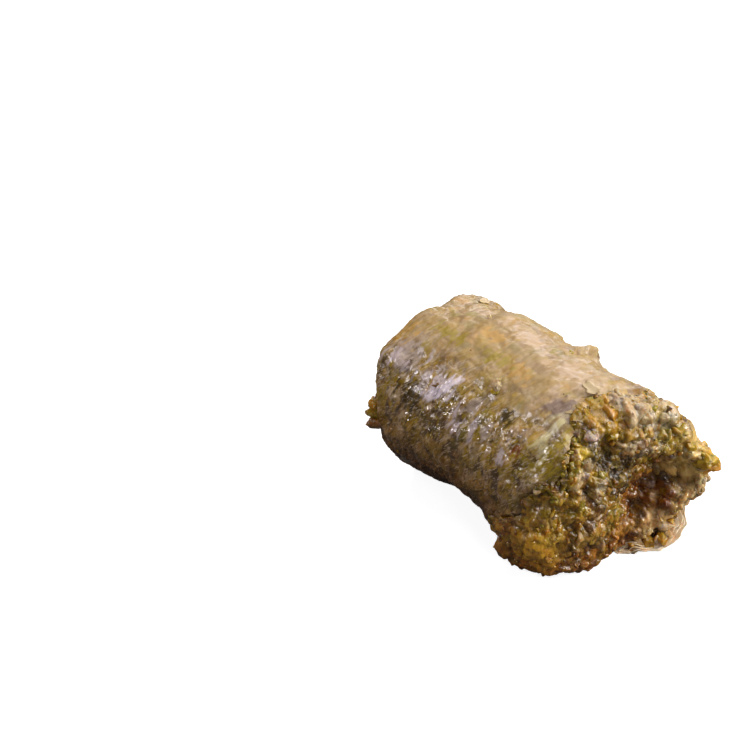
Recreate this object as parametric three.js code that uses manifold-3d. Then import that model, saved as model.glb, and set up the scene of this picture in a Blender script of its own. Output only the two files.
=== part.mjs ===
// A piece of rolled baklava: a log of crushed pistachio, bound with syrup, in a thin sheet of
// pastry. The log is cut at both ends and lies on its side, flattened a little by its own weight.
//
// Frame: millimetres, +Z up, the roll along X, the torn end towards +X, and the origin in the
// middle of the footprint. A place on the roll is its distance along X and an angle round the
// axis in degrees, 0 at the top and growing towards -Y, over the front and under the roll.
//
// Two solids: the filling runs the whole length, and the pastry sheet is a shell round it. The
// sheet is torn back in a slant at the +X end, where the crumbs stand free, and its layers stick
// out past the cut under the roll.

import * as THREE from "three";
import { mergeVertices } from "three/addons/utils/BufferGeometryUtils.js";
import Module from "manifold-3d";

// ---------------------------------------------------------------- driving dimensions, mm

const RADIUS = 14; // of the wrapped roll
const FOOT_HALF_WIDTH = 6; // half the strip that it lies on
const AXIS_HEIGHT = Math.sqrt(RADIUS ** 2 - FOOT_HALF_WIDTH ** 2);
const SHEET = 0.8; // the soaked pastry, two or three thin layers stuck together
const CLEARANCE = 0.3; // kept between sheet and filling
const SLACK = 0.1; // beyond the clearance, so that no cut leaves a sliver
const ROOM = SHEET + CLEARANCE + SLACK; // from the roll's skin to the filling under the sheet

// Broad swells (+) and dents (-) of the wrapped roll.
const SWELLS = [
  { x: -6, angle: 134, along: 7, around: 38, height: -1.5 }, // waist, low in front
  { x: -10, angle: -46, along: 5, around: 45, height: 0.8 }, // crown
  { x: -17, angle: -50, along: 3.5, around: 28, height: -1 },
  { x: 8, angle: 30, along: 9, around: 50, height: 0.3 },
  { x: -21, angle: 52, along: 4, around: 24, height: 0.8 }, // shoulder at the cut end
  { x: -21, angle: -8, along: 5, around: 26, height: -0.9 },
];

// The crumbs that have spread where the sheet is torn away.
const SPREADS = [
  { x: 11, angle: 130, along: 9, around: 26, height: 3.1 }, // foot of crumbs in front
  { x: 10, angle: 104, along: 6, around: 15, height: 1.1 }, // crag at the torn edge
  { x: 21, angle: -98, along: 4, around: 26, height: 1.5 }, // crag at the back
];

// Relief: the size of its lumps, their height, and how far the skin is lowered to take them.
const UNEVEN = { size: 8, height: 0.9, lowered: 0.45 }; // the whole roll
const NUT_BUMPS = { size: 3.6, height: 0.55 }; // nuts that show through the sheet
const SIDE_CRAGS = { size: 4.5, height: 1.8, lowered: 0.8 }; // bare crumbs
const FACE_CRAGS = { size: 4.5, height: 2, lowered: 0.6 };
const BARE_STEP = 0.4; // along X, from the filling under the sheet up to the bare crumbs

// The two edges of the sheet: angle, then distance along X.
const TORN_EDGE = [
  [-165, 19], [-132, 21], [-106, 17.5], [-76, 15], [-46, 14.2], [-16, 14.6], [13, 11.8],
  [31, 14.8], [58, 15.4], [86, 11.9], [116, 4.7], [138, 2.6], [165, 9],
];
const CUT_EDGE = [
  [-150, -20.4], [-100, -21.2], [-50, -21.4], [-28, -22.6], [-4, -21.8], [27, -22.4],
  [50, -22.4], [80, -20.8], [120, -19.6], [170, -20.4],
];

// The two ends of the filling. Each has the way that it faces along X, the rounding beside its
// face, the rim of the face as angle and X, the X of its middle, and its hollows (-) and lumps (+)
// in Y and in Z from the axis.
const TORN_END = {
  outwards: 1,
  corner: 2.6,
  rim: [
    [-150, 19.2], [-124, 21.4], [-104, 22.7], [-86, 22.6], [-64, 21.6], [-30, 19.2], [0, 18],
    [30, 17.6], [60, 17.6], [90, 17], [134, 16.8], [180, 17],
  ],
  middle: 19,
  forms: [
    { y: 5.6, z: -2.6, radius: 5.5, height: -4.2 }, // where the middle has crumbled out
    { y: -2, z: 8, radius: 2, height: -3 }, // gap under the lip of the sheet
    { y: -7, z: -3, radius: 4.5, height: 1.6 },
    { y: 5, z: 8, radius: 3.5, height: 1.2 },
  ],
};
const CUT_END = {
  outwards: -1,
  corner: 1.3,
  rim: [
    [-150, -20.6], [-90, -21.8], [-46, -22], [-4, -22], [27, -23], [50, -23], [80, -21.6],
    [134, -20.6], [180, -20.2],
  ],
  middle: -21,
  forms: [
    { y: 2, z: 1, radius: 4, height: 2.2 },
    { y: -6, z: 5, radius: 3.5, height: -0.8 },
  ],
};

// Places where the sheet lifts off at its torn edge.
const LIPS = [
  { angle: -2, around: 12, reach: 6, height: 0.8 },
  { angle: 36, around: 18, reach: 3, height: 0.8 },
  { angle: 84, around: 16, reach: 3, height: 0.6 },
];

// Where the sheet's outermost layer alone is torn and curls up: the place of its edge, how far
// round it goes, how far back the curl starts, how steeply its edge drops, and its height.
const CURL = { x: 0.6, angle: -44, around: 12, reach: 4.5, drop: 1.2, height: 2.2 };

const SEAM = { angle: -112, overlap: 48, step: 0.7 }; // where the sheet's outer end laps over

// Nut pieces that stand out of the filling, and bits that stick to the sheet.
const NUTS = { count: 120, smallest: 1, largest: 2.1, sunk: 0.5, onTornEnd: 0.75, seed: 7 };
const BITS = { count: 12, from: -70, spread: 200, smallest: 0.55, largest: 1.05, sunk: 0.3, seed: 3 };
const TIP = { x: 22.7, angle: -86, radius: 13.4, size: 2.1 }; // the crumb that sticks out most

const STONE = { length: 1.15, width: [0.75, 1], thickness: [0.6, 0.9] }; // as shares of its size
const GOLDEN_ANGLE = 137.508;

const AROUND = 56; // facets round the roll
const SHEET_RINGS = { outside: 21, inside: 6 };
const FILLING_RINGS = { covered: 4, exposed: 7, corner: 2, tornFace: 6, cutFace: 4 };

const COLOURS = { filling: 0x7d6a2c, pastry: 0x9c8550 };

// ---------------------------------------------------------------- small mathematics

const DEGREE = Math.PI / 180;
const mix = (a, b, t) => a + (b - a) * t;
const ease = (t) => t * t * (3 - 2 * t);
const clamp01 = (t) => Math.min(1, Math.max(0, t));
const bell = (t) => Math.exp(-t * t);
const angleGap = (a, b) => ((((a - b + 180) % 360) + 360) % 360) - 180;
const scatter = (n) => {
  const v = Math.sin(n) * 43758.5453;
  return v - Math.floor(v);
};

// A closed curve through [angle, value] knots, eased from knot to knot.
function throughKnots(knots, angle) {
  const a = angleGap(angle, 0);
  const next = knots.findIndex((knot) => knot[0] > a);
  const to = knots[next < 0 ? 0 : next];
  const from = knots[(next < 0 ? knots.length : next || knots.length) - 1];
  const span = (to[0] - from[0] + 360) % 360;
  const gone = (a - from[0] + 360) % 360;
  return mix(from[1], to[1], ease(gone / span));
}

// Smooth random values from 0 to 1, one for each point of a unit lattice.
function noise(x, y, z) {
  const [i, j, k] = [x, y, z].map(Math.floor);
  const [u, v, w] = [ease(x - i), ease(y - j), ease(z - k)];
  const at = (a, b, c) => scatter((i + a) * 127.1 + (j + b) * 311.7 + (k + c) * 74.7);
  const row = (b, c) => mix(at(0, b, c), at(1, b, c), u);
  return mix(mix(row(0, 0), row(1, 0), v), mix(row(0, 1), row(1, 1), v), w);
}

// Rounded lumps with creases between them, 0 in the creases.
const lumps = (x, y, z, size) => Math.abs(2 * noise(x / size, y / size, z / size) - 1);

// ---------------------------------------------------------------- the shape of the roll

// Y and height above the table of a point at that radius and angle.
const sideways = (radius, angle) => -radius * Math.sin(angle * DEGREE);
const upwards = (radius, angle) => AXIS_HEIGHT + radius * Math.cos(angle * DEGREE);

function sumOfForms(forms, x, angle) {
  return forms.reduce((sum, form) => {
    const along = bell((x - form.x) / form.along);
    return sum + form.height * along * bell(angleGap(angle, form.angle) / form.around);
  }, 0);
}

// Radius of the filling's skin under the sheet: round, with its swells and a slow unevenness.
function rollRadius(x, angle) {
  const y = sideways(RADIUS, angle);
  const z = upwards(RADIUS, angle);
  const uneven = UNEVEN.height * noise(x / UNEVEN.size, y / UNEVEN.size + 20, z / UNEVEN.size);
  return RADIUS - UNEVEN.lowered + sumOfForms(SWELLS, x, angle) + uneven;
}

// Height of the outermost layer's curl.
function curl(x, angle) {
  const near = clamp01(1 - (CURL.x - x) / CURL.reach);
  const drop = clamp01(1 - (x - CURL.x) / CURL.drop);
  return CURL.height * near ** 2 * drop * bell(angleGap(angle, CURL.angle) / CURL.around);
}

// Outside of the sheet, less the curl: nuts under it show as low bumps, its end laps over at the
// seam, and its torn edge lifts in lips.
function sheetRadius(x, angle) {
  const radius = rollRadius(x, angle);
  const [y, z] = [sideways(radius, angle), upwards(radius, angle)];
  const bumps = NUT_BUMPS.height * lumps(x, y, z, NUT_BUMPS.size);
  const pastSeam = angleGap(SEAM.angle, angle);
  const lap = pastSeam >= 0 ? 1 - clamp01(pastSeam / SEAM.overlap) : 0;
  const fromEdge = throughKnots(TORN_EDGE, angle) - x;
  const lift = LIPS.reduce((sum, lip) => {
    const near = clamp01(1 - fromEdge / lip.reach);
    return sum + lip.height * near * near * bell(angleGap(angle, lip.angle) / lip.around);
  }, 0);
  return radius + bumps + SEAM.step * ease(lap) + lift;
}

// Outside of the filling where no sheet covers it: spread, craggy crumbs.
function crumbRadius(x, angle) {
  const radius = rollRadius(x, angle) + sumOfForms(SPREADS, x, angle);
  const [y, z] = [sideways(radius, angle), upwards(radius, angle)];
  return radius - SIDE_CRAGS.lowered + SIDE_CRAGS.height * lumps(x, y, z, SIDE_CRAGS.size);
}

// Outside of the filling. Where the sheet covers it, it leaves room for the sheet.
function fillingRadius(x, angle) {
  const covered = rollRadius(x, angle) - ROOM;
  const bare = clamp01((x - bareFrom(angle)) / BARE_STEP);
  return mix(covered, crumbRadius(x, angle), bare);
}

const bareFrom = (angle) => throughKnots(TORN_EDGE, angle) + CLEARANCE + SLACK;

// A point of an end's face, at that share of the way from its middle to its rim.
function facePoint(end, share, angle) {
  const rim = throughKnots(end.rim, angle);
  const radius = share * (fillingRadius(rim - end.outwards * end.corner, angle) - end.corner);
  const y = sideways(radius, angle);
  const z = upwards(radius, angle) - AXIS_HEIGHT;
  const formed = end.forms.reduce((sum, form) => {
    return sum + form.height * bell(Math.hypot(y - form.y, z - form.z) / form.radius);
  }, 0);
  const crags = FACE_CRAGS.height * lumps(y, z, 60 * end.outwards, FACE_CRAGS.size);
  const relief = formed + crags - FACE_CRAGS.lowered;
  const x = mix(end.middle, rim, share ** 2) + end.outwards * (1 - share ** 4) * relief;
  return { x, radius };
}

// A point of the rounding beside an end's face: turn is 0 on the side and 1 on the face.
function cornerPoint(end, turn, angle) {
  const x = throughKnots(end.rim, angle) - end.outwards * end.corner;
  const along = Math.sin(turn * 90 * DEGREE);
  const inwards = 1 - Math.cos(turn * 90 * DEGREE);
  const radius = fillingRadius(x, angle) - end.corner * inwards;
  return { x: x + end.outwards * end.corner * along, radius };
}

// ---------------------------------------------------------------- solids

const wasm = await Module();
wasm.setup();

function solidOf(geometry) {
  const bare = geometry.clone();
  bare.deleteAttribute("normal");
  bare.deleteAttribute("uv");
  const merged = mergeVertices(bare, 1e-4);
  return new wasm.Manifold(
    new wasm.Mesh({
      numProp: 3,
      vertProperties: merged.getAttribute("position").array,
      triVerts: new Uint32Array(merged.index.array),
    }),
  );
}

function geometryOf(solid) {
  const mesh = solid.getMesh();
  const geometry = new THREE.BufferGeometry();
  geometry.setAttribute("position", new THREE.BufferAttribute(mesh.vertProperties, 3));
  geometry.setIndex(new THREE.BufferAttribute(mesh.triVerts, 1));
  geometry.computeVertexNormals();
  return geometry;
}

// A skin through rings of points, each ring AROUND points long. It closes on itself from the
// last ring to the first, or on a point at each end if those are given.
function skin(rings, ends) {
  const positions = rings.flat(2);
  const index = [];
  const at = (ring, step) => (ring % rings.length) * AROUND + (step % AROUND);
  const bands = ends ? rings.length - 1 : rings.length;
  for (let ring = 0; ring < bands; ring++) {
    for (let step = 0; step < AROUND; step++) {
      const [a, b] = [at(ring, step), at(ring, step + 1)];
      const [c, d] = [at(ring + 1, step), at(ring + 1, step + 1)];
      index.push(a, b, d, a, d, c);
    }
  }
  if (ends) {
    const first = rings.length * AROUND;
    positions.push(...ends[0], ...ends[1]);
    for (let step = 0; step < AROUND; step++) {
      index.push(first, at(0, step + 1), at(0, step));
      index.push(first + 1, at(rings.length - 1, step), at(rings.length - 1, step + 1));
    }
  }
  const geometry = new THREE.BufferGeometry();
  geometry.setAttribute("position", new THREE.Float32BufferAttribute(positions, 3));
  geometry.setIndex(index);
  return geometry;
}

// One ring of points. placeOf(angle) gives its x and radius there, and nothing lies below floor.
function ring(placeOf, floor) {
  return Array.from({ length: AROUND }, (_, step) => {
    const angle = (360 * step) / AROUND;
    const { x, radius } = placeOf(angle);
    return [x, sideways(radius, angle), Math.max(floor, upwards(radius, angle))];
  });
}

// The pastry sheet as a tube, from its cut edge to its torn one and back inside. Grown by some
// distance on every side, it is the room that the filling leaves for it.
function sheetSolid(grown) {
  const place = (share, radiusAt) => (angle) => {
    const from = throughKnots(CUT_EDGE, angle) - grown;
    const to = throughKnots(TORN_EDGE, angle) + grown;
    const x = mix(from, to, share);
    return { x, radius: radiusAt(x, angle) };
  };
  const outsideAt = (x, angle) => sheetRadius(x, angle) + curl(x, angle) + grown;
  const insideAt = (x, angle) => sheetRadius(x, angle) - SHEET - grown;
  const { outside, inside } = SHEET_RINGS;
  const outer = Array.from({ length: outside }, (_, n) =>
    ring(place(n / (outside - 1), outsideAt), -grown),
  );
  const inner = Array.from({ length: inside }, (_, n) =>
    ring(place(1 - n / (inside - 1), insideAt), SHEET + grown),
  );
  return solidOf(skin([...outer, ...inner]));
}

// The filling, ring by ring: the cut face from its middle out, the side under the sheet, the
// exposed crumbs, and the torn face back to its middle.
function fillingCore() {
  const { covered, exposed, corner, tornFace, cutFace } = FILLING_RINGS;
  const sideFrom = (angle) => throughKnots(CUT_END.rim, angle) + CUT_END.corner;
  const sideTo = (angle) => throughKnots(TORN_END.rim, angle) - TORN_END.corner;
  const bareSide = (angle) => Math.min(bareFrom(angle), sideTo(angle) - 1);
  const side = (from, to, share) => (angle) => {
    const x = mix(from(angle), to(angle), share);
    return { x, radius: fillingRadius(x, angle) };
  };

  const covering = [];
  for (let n = 1; n <= cutFace; n++) {
    covering.push((angle) => facePoint(CUT_END, n / (cutFace + 1), angle));
  }
  for (let n = corner; n > 0; n--) covering.push((angle) => cornerPoint(CUT_END, n / corner, angle));
  for (let n = 0; n <= covered; n++) covering.push(side(sideFrom, bareSide, n / covered));
  const bare = [];
  for (let n = 0; n <= exposed; n++) {
    bare.push(side((angle) => bareSide(angle) + BARE_STEP, sideTo, n / exposed));
  }
  for (let n = 1; n <= corner; n++) bare.push((angle) => cornerPoint(TORN_END, n / corner, angle));
  for (let n = tornFace; n > 0; n--) {
    bare.push((angle) => facePoint(TORN_END, n / (tornFace + 1), angle));
  }

  // Under the sheet the filling stays clear of it, and past the torn edge it rests on the table.
  const rings = [...covering.map((at) => ring(at, ROOM)), ...bare.map((at) => ring(at, 0))];
  const middles = [CUT_END, TORN_END].map((end) => [facePoint(end, 0, 0).x, 0, AXIS_HEIGHT]);
  return solidOf(skin(rings, middles));
}

// One nut piece: an angular stone, longer than it is thick, turned at random.
function nutPiece(radius, centre, seed) {
  const stone = new THREE.IcosahedronGeometry(radius, 0);
  const width = mix(...STONE.width, scatter(seed + 1));
  const thickness = mix(...STONE.thickness, scatter(seed + 2));
  const turns = [3, 4, 5].map((n) => 2 * Math.PI * scatter(seed + n));
  stone.scale(STONE.length, width, thickness);
  stone.applyMatrix4(new THREE.Matrix4().makeRotationFromEuler(new THREE.Euler(...turns)));
  stone.translate(...centre);
  return solidOf(stone);
}

// Nut pieces spread evenly by the golden angle over the two ends of the filling. One that would
// touch the sheet is left out.
function nutPieces(room) {
  const tip = [TIP.x, sideways(TIP.radius, TIP.angle), upwards(TIP.radius, TIP.angle)];
  const pieces = [nutPiece(TIP.size, tip, NUTS.seed)];
  for (let n = 0; n < NUTS.count; n++) {
    const seed = NUTS.seed + 11 * n;
    const size = mix(NUTS.smallest, NUTS.largest, scatter(seed) ** 2);
    const angle = n * GOLDEN_ANGLE;
    const share = Math.sqrt(scatter(seed + 6));
    const onTorn = scatter(seed + 7) < NUTS.onTornEnd;
    const place = onTorn ? onTornEnd(angle, share) : facePoint(CUT_END, share, angle);
    const radius = place.radius - NUTS.sunk * size;
    const height = Math.max(size * STONE.length, upwards(radius, angle));
    const piece = nutPiece(size, [place.x, sideways(radius, angle), height], seed);
    if (piece.intersect(room).isEmpty()) pieces.push(piece);
  }
  return pieces;
}

// A place on the torn end, from the middle of its face at 0, over its corner, to the edge of the
// sheet at 1.
function onTornEnd(angle, share) {
  const { corner } = TORN_END;
  const sideTo = throughKnots(TORN_END.rim, angle) - corner;
  const reach = share * (RADIUS + Math.max(0, sideTo - bareFrom(angle)));
  if (reach < RADIUS - corner) return facePoint(TORN_END, reach / (RADIUS - corner), angle);
  if (reach < RADIUS) return cornerPoint(TORN_END, (RADIUS - reach) / corner, angle);
  const x = sideTo - (reach - RADIUS);
  return { x, radius: fillingRadius(x, angle) };
}

// Bits of nut that stick to the outside of the sheet, over the top and the front.
function stuckBits() {
  return Array.from({ length: BITS.count }, (_, n) => {
    const seed = BITS.seed + 13 * n;
    const size = mix(BITS.smallest, BITS.largest, scatter(seed));
    const angle = BITS.from + ((n * GOLDEN_ANGLE) % BITS.spread);
    const x = mix(-18, throughKnots(TORN_EDGE, angle) - 2, scatter(seed + 6));
    const radius = sheetRadius(x, angle) - BITS.sunk * size;
    return nutPiece(size, [x, sideways(radius, angle), upwards(radius, angle)], seed);
  });
}

// The largest body of a solid, without loose scraps.
function largest(solid) {
  return solid.decompose().reduce((a, b) => (b.volume() > a.volume() ? b : a));
}

function filling() {
  const room = sheetSolid(CLEARANCE);
  const fused = wasm.Manifold.union([fillingCore(), ...nutPieces(room)]);
  return geometryOf(largest(fused.subtract(room)));
}

function pastrySheet() {
  return geometryOf(largest(wasm.Manifold.union([sheetSolid(0), ...stuckBits()])));
}

function part(name, geometry, colour, roughness) {
  const material = new THREE.MeshStandardMaterial({ color: colour, roughness, metalness: 0 });
  const mesh = new THREE.Mesh(geometry, material);
  mesh.name = name;
  return mesh;
}

const roll = new THREE.Group();
roll.add(part("pistachio_filling", filling(), COLOURS.filling, 0.45));
roll.add(part("pastry_sheet", pastrySheet(), COLOURS.pastry, 0.35));

export default roll;
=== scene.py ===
"""A piece of rolled baklava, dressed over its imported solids.

Lengths are worked out in millimetres in the frame of the solids: the roll lies along X with its
torn end towards +X, an angle is in degrees round the axis, 0 at the top and growing towards -Y,
and make_mesh turns the result into metres. The sheet and the filling repeat the formulas of the
solids with finer relief; nut crumbs and thin layers of pastry are then scattered over them.
"""

import math

import bpy
import numpy as np
from mathutils import Matrix, Vector


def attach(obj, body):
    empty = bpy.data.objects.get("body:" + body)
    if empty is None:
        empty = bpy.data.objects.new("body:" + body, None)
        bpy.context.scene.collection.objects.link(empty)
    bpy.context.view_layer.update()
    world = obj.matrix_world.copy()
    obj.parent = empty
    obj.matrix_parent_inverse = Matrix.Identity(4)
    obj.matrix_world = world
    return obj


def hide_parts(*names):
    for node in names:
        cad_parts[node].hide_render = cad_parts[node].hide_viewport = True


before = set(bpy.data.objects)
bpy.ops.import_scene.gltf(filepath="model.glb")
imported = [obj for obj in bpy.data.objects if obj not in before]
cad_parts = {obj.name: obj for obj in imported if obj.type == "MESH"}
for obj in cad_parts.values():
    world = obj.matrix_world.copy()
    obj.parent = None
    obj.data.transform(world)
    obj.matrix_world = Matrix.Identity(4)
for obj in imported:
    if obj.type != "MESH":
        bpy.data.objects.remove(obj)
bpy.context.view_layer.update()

# ---------------------------------------------------------------- sizes of the roll, mm

RADIUS = 14.0
FOOT_HALF_WIDTH = 6.0
AXIS_HEIGHT = math.sqrt(RADIUS**2 - FOOT_HALF_WIDTH**2)
SHEET = 0.8
ROOM = 1.2  # from the roll's skin to the filling under the sheet

# Each swell is (x, angle, reach along x, reach round, height).
SWELLS = [
    (-6, 134, 7, 38, -1.5),
    (-10, -46, 5, 45, 0.8),
    (-17, -50, 3.5, 28, -1.0),
    (8, 30, 9, 50, 0.3),
    (-21, 52, 4, 24, 0.8),
    (-21, -8, 5, 26, -0.9),
]
SPREADS = [(11, 130, 9, 26, 3.1), (10, 104, 6, 15, 1.1), (21, -98, 4, 26, 1.5)]
UNEVEN = (8.0, 0.9, 0.45)  # size of the lumps, their height, how far the skin is lowered
NUT_BUMPS = (3.6, 0.55)
SIDE_CRAGS = (4.5, 1.8, 0.8)
FACE_CRAGS = (4.5, 2.0, 0.6)
BARE_STEP = 0.4

# The sheet's two edges: knots of (angle, x).
TORN_EDGE = [
    (-165, 18.6), (-132, 20), (-106, 17.5), (-76, 15), (-46, 14.2), (-16, 14.6), (13, 12.4),
    (31, 15.8), (58, 16.4), (86, 12.4), (116, 4.7), (138, 2.6), (165, 9),
]
CUT_EDGE = [
    (-150, -20.4), (-100, -21.2), (-50, -21.4), (-28, -22.6), (-4, -21.8), (27, -22.4),
    (50, -22.4), (80, -20.8), (120, -19.6), (170, -20.4),
]

# Where the lowest of the layers that stick out past the cut ends: knots of (angle, x).
FLAP_EDGE = [
    (-178, 17.6), (-170, 18.4), (-162, 19.4), (-154, 20.4), (-146, 21.0), (-136, 21.0),
    (-126, 20.0), (-118, 18.2),
]

# The filling's ends. Forms are (y, z from the axis, radius, height).
TORN_END = {
    "outwards": 1,
    "corner": 2.6,
    "rim": [
        (-150, 19.2), (-124, 21.4), (-104, 22.7), (-86, 22.6), (-64, 21.6), (-30, 19.2), (0, 18),
        (30, 17.6), (60, 17.6), (90, 17), (134, 16.8), (180, 17),
    ],
    "middle": 19.0,
    "forms": [(5.6, -2.6, 5.5, -4.2), (-2, 8, 2, -3), (-7, -3, 4.5, 1.6), (5, 8, 3.5, 1.2)],
}
CUT_END = {
    "outwards": -1,
    "corner": 0.8,
    "rim": [
        (-150, -20.6), (-90, -21.8), (-46, -22), (-4, -22), (27, -23), (50, -23), (80, -21.6),
        (134, -20.6), (180, -20.2),
    ],
    "middle": -21.0,
    "forms": [(2, 1, 4, 2.2), (-6, 5, 3.5, -0.8)],
}

# Where the sheet lifts at its torn edge: (angle, reach round, reach along x, height).
LIPS = [(-2, 12, 6, 0.8), (36, 18, 3, 0.8), (84, 16, 3, 0.6)]
# The outermost layer's own torn edge, where it curls up.
CURL = {"x": 0.6, "angle": -44, "around": 12, "reach": 4.5, "drop": 0.5, "height": 2.2}
GOLDEN_ANGLE = 137.5
SEAM_ANGLE, SEAM_OVERLAP, SEAM_STEP = -112, 48, 0.7

# ---------------------------------------------------------------- small mathematics


def mix(a, b, t):
    """The value that share t of the way from a to b."""
    return a + (b - a) * t


def ease(t):
    """A share of 0 to 1, slowed at both ends: t * t * (3 - 2 t)."""
    return t * t * (3 - 2 * t)


def clamp01(t):
    return np.clip(t, 0.0, 1.0)


def bell(t):
    """exp(-t squared): 1 in the middle, nearly 0 from 2 on."""
    return np.exp(-t * t)


def angle_gap(a, b):
    """a - b in degrees, brought into -180 to 180."""
    return (a - b + 180.0) % 360.0 - 180.0


def scatter(n):
    """A repeatable random value from 0 to 1 for each number: the fraction of a large sine."""
    v = np.sin(n) * 43758.5453
    return v - np.floor(v)


def noise(x, y, z):
    """Smooth random values from 0 to 1: lattice values, eased along the three axes."""
    i, j, k = np.floor(x), np.floor(y), np.floor(z)
    u, v, w = ease(x - i), ease(y - j), ease(z - k)

    def at(a, b, c):
        return scatter((i + a) * 127.1 + (j + b) * 311.7 + (k + c) * 74.7)

    def row(b, c):
        return mix(at(0, b, c), at(1, b, c), u)

    return mix(mix(row(0, 0), row(1, 0), v), mix(row(0, 1), row(1, 1), v), w)


def lumps(x, y, z, size):
    """Rounded lumps, 0 in the creases between them: |2 noise - 1|."""
    return np.abs(2 * noise(x / size, y / size, z / size) - 1)


def pebbles(x, y, z, size, seed=0.0, bent=0.0, tilt=0.0):
    """Close-packed pebbles of that size: 1 - (distance to the nearest of one random point per
    lattice cell) squared, no less than 0, times a random height. Bent shifts the coordinates by
    noise first, which makes the outlines uneven, and tilt slopes each top its own way, which
    makes broken bits of them. Also each pebble's own random tone, from 0 to 1."""
    x, y, z = x / size, y / size, z / size
    if bent:
        a, b, c = 2.3 * x, 2.3 * y, 2.3 * z
        x = x + bent * (noise(a, b, c) - 0.5)
        y = y + bent * (noise(a + 31, b, c) - 0.5)
        z = z + bent * (noise(a, b + 57, c) - 0.5)
    i, j, k = np.floor(x), np.floor(y), np.floor(z)
    best = np.full(x.shape, 9.0)
    height, tone, slope = np.zeros(x.shape), np.zeros(x.shape), np.zeros(x.shape)
    for a in (-1, 0, 1):
        for b in (-1, 0, 1):
            for c in (-1, 0, 1):
                key = (i + a) * 127.1 + (j + b) * 311.7 + (k + c) * 74.7 + seed
                px = i + a + 0.15 + 0.7 * scatter(key + 1.3)
                py = j + b + 0.15 + 0.7 * scatter(key + 2.7)
                pz = k + c + 0.15 + 0.7 * scatter(key + 4.1)
                gap = (x - px) ** 2 + (y - py) ** 2 + (z - pz) ** 2
                nearer = gap < best
                best = np.where(nearer, gap, best)
                height = np.where(nearer, 0.5 + 0.5 * scatter(key + 5.9), height)
                tone = np.where(nearer, scatter(key + 8.3), tone)
                if tilt:
                    lean = (x - px) * (scatter(key + 6.1) - 0.5) + (y - py) * (scatter(key + 7.3) - 0.5)
                    lean = lean + (z - pz) * (scatter(key + 9.7) - 0.5)
                    slope = np.where(nearer, lean, slope)
    return np.maximum(0.0, 1 - 1.6 * best) * height + 2 * tilt * slope, tone


def through_knots(knots, angle):
    """A closed curve through (angle, value) knots, eased from each knot to the next."""
    angles = np.array([k[0] for k in knots], float)
    values = np.array([k[1] for k in knots], float)
    angles = np.concatenate([[angles[-1] - 360], angles, [angles[0] + 360]])
    values = np.concatenate([[values[-1]], values, [values[0]]])
    a = angle_gap(angle, 0.0)
    n = np.clip(np.searchsorted(angles, a, side="right"), 1, len(angles) - 1)
    share = (a - angles[n - 1]) / (angles[n] - angles[n - 1])
    return mix(values[n - 1], values[n], ease(share))


# ---------------------------------------------------------------- the form of the roll


def sideways(radius, angle):
    return -radius * np.sin(np.radians(angle))


def upwards(radius, angle):
    return AXIS_HEIGHT + radius * np.cos(np.radians(angle))


def placed(x, radius, angle, floor=0.0):
    """Points at that x, radius and angle, none of them below the floor."""
    z = np.maximum(floor, upwards(radius, angle))
    return np.stack(np.broadcast_arrays(x, sideways(radius, angle), z), axis=-1)


def away_from_axis(places):
    """Unit directions from the roll's axis straight out through each place."""
    outward = places - np.array([0, 0, AXIS_HEIGHT])
    outward[:, 0] = 0
    return outward / np.linalg.norm(outward, axis=1, keepdims=True)


def sum_of_forms(forms, x, angle):
    """Each form is its height times a bell along x times a bell round the axis."""
    total = 0.0
    for at_x, at_angle, along, around, height in forms:
        total = total + height * bell((x - at_x) / along) * bell(angle_gap(angle, at_angle) / around)
    return total


def ragged(angle, seed):
    """Tears of an edge in mm along x: three noises round the ring, coarse to fine."""
    y, z = sideways(RADIUS, angle), upwards(RADIUS, angle)
    coarse = noise(y / 3.1 + seed, z / 3.1, seed + 0 * y) - 0.5
    middle = noise(y / 1.1, z / 1.1 + seed, seed + 0 * y) - 0.5
    fine = noise(y / 0.45, z / 0.45, seed + 0 * y) - 0.5
    return 1.5 * coarse + 0.9 * middle + 0.45 * fine


def torn_edge(angle):
    return through_knots(TORN_EDGE, angle) + ragged(angle, 5.0)


def cut_edge(angle):
    return through_knots(CUT_EDGE, angle) + 0.35 * ragged(angle, 11.0)


def roll_radius(x, angle):
    """The filling's skin under the sheet: the radius, its swells and a slow unevenness."""
    y, z = sideways(RADIUS, angle), upwards(RADIUS, angle)
    size, height, lowered = UNEVEN
    uneven = height * noise(x / size, y / size + 20, z / size)
    return RADIUS - lowered + sum_of_forms(SWELLS, x, angle) + uneven


def lip_lift(x, angle, edge):
    """How far the sheet is lifted near its torn edge: the square of the nearness, per lip."""
    total = 0.0
    for at_angle, around, reach, height in LIPS:
        near = clamp01(1 - (edge - x) / reach)
        total = total + height * near**2 * bell(angle_gap(angle, at_angle) / around)
    return total


def curl(x, angle):
    """The outermost layer's curl: the square of the nearness to its torn edge, times a bell."""
    torn = CURL["x"] + 0.5 * ragged(angle, 31.0)
    near = clamp01(1 - (torn - x) / CURL["reach"])
    drop = clamp01(1 - (x - torn) / CURL["drop"])
    return CURL["height"] * near**2 * drop * bell(angle_gap(angle, CURL["angle"]) / CURL["around"])


def sheet_radius(x, angle, edge):
    """The sheet's outside, less the curl: the roll, nuts that show as bumps, the lap at the seam,
    the lips."""
    radius = roll_radius(x, angle)
    y, z = sideways(radius, angle), upwards(radius, angle)
    size, height = NUT_BUMPS
    past = angle_gap(SEAM_ANGLE + 5 * (noise(x / 4, x * 0, x * 0) - 0.5), angle)
    lap = np.where(past >= 0, 1 - clamp01(past / SEAM_OVERLAP), 0.0)
    bumps = height * lumps(x, y, z, size)
    return radius + bumps + SEAM_STEP * ease(lap) + lip_lift(x, angle, edge)


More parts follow.
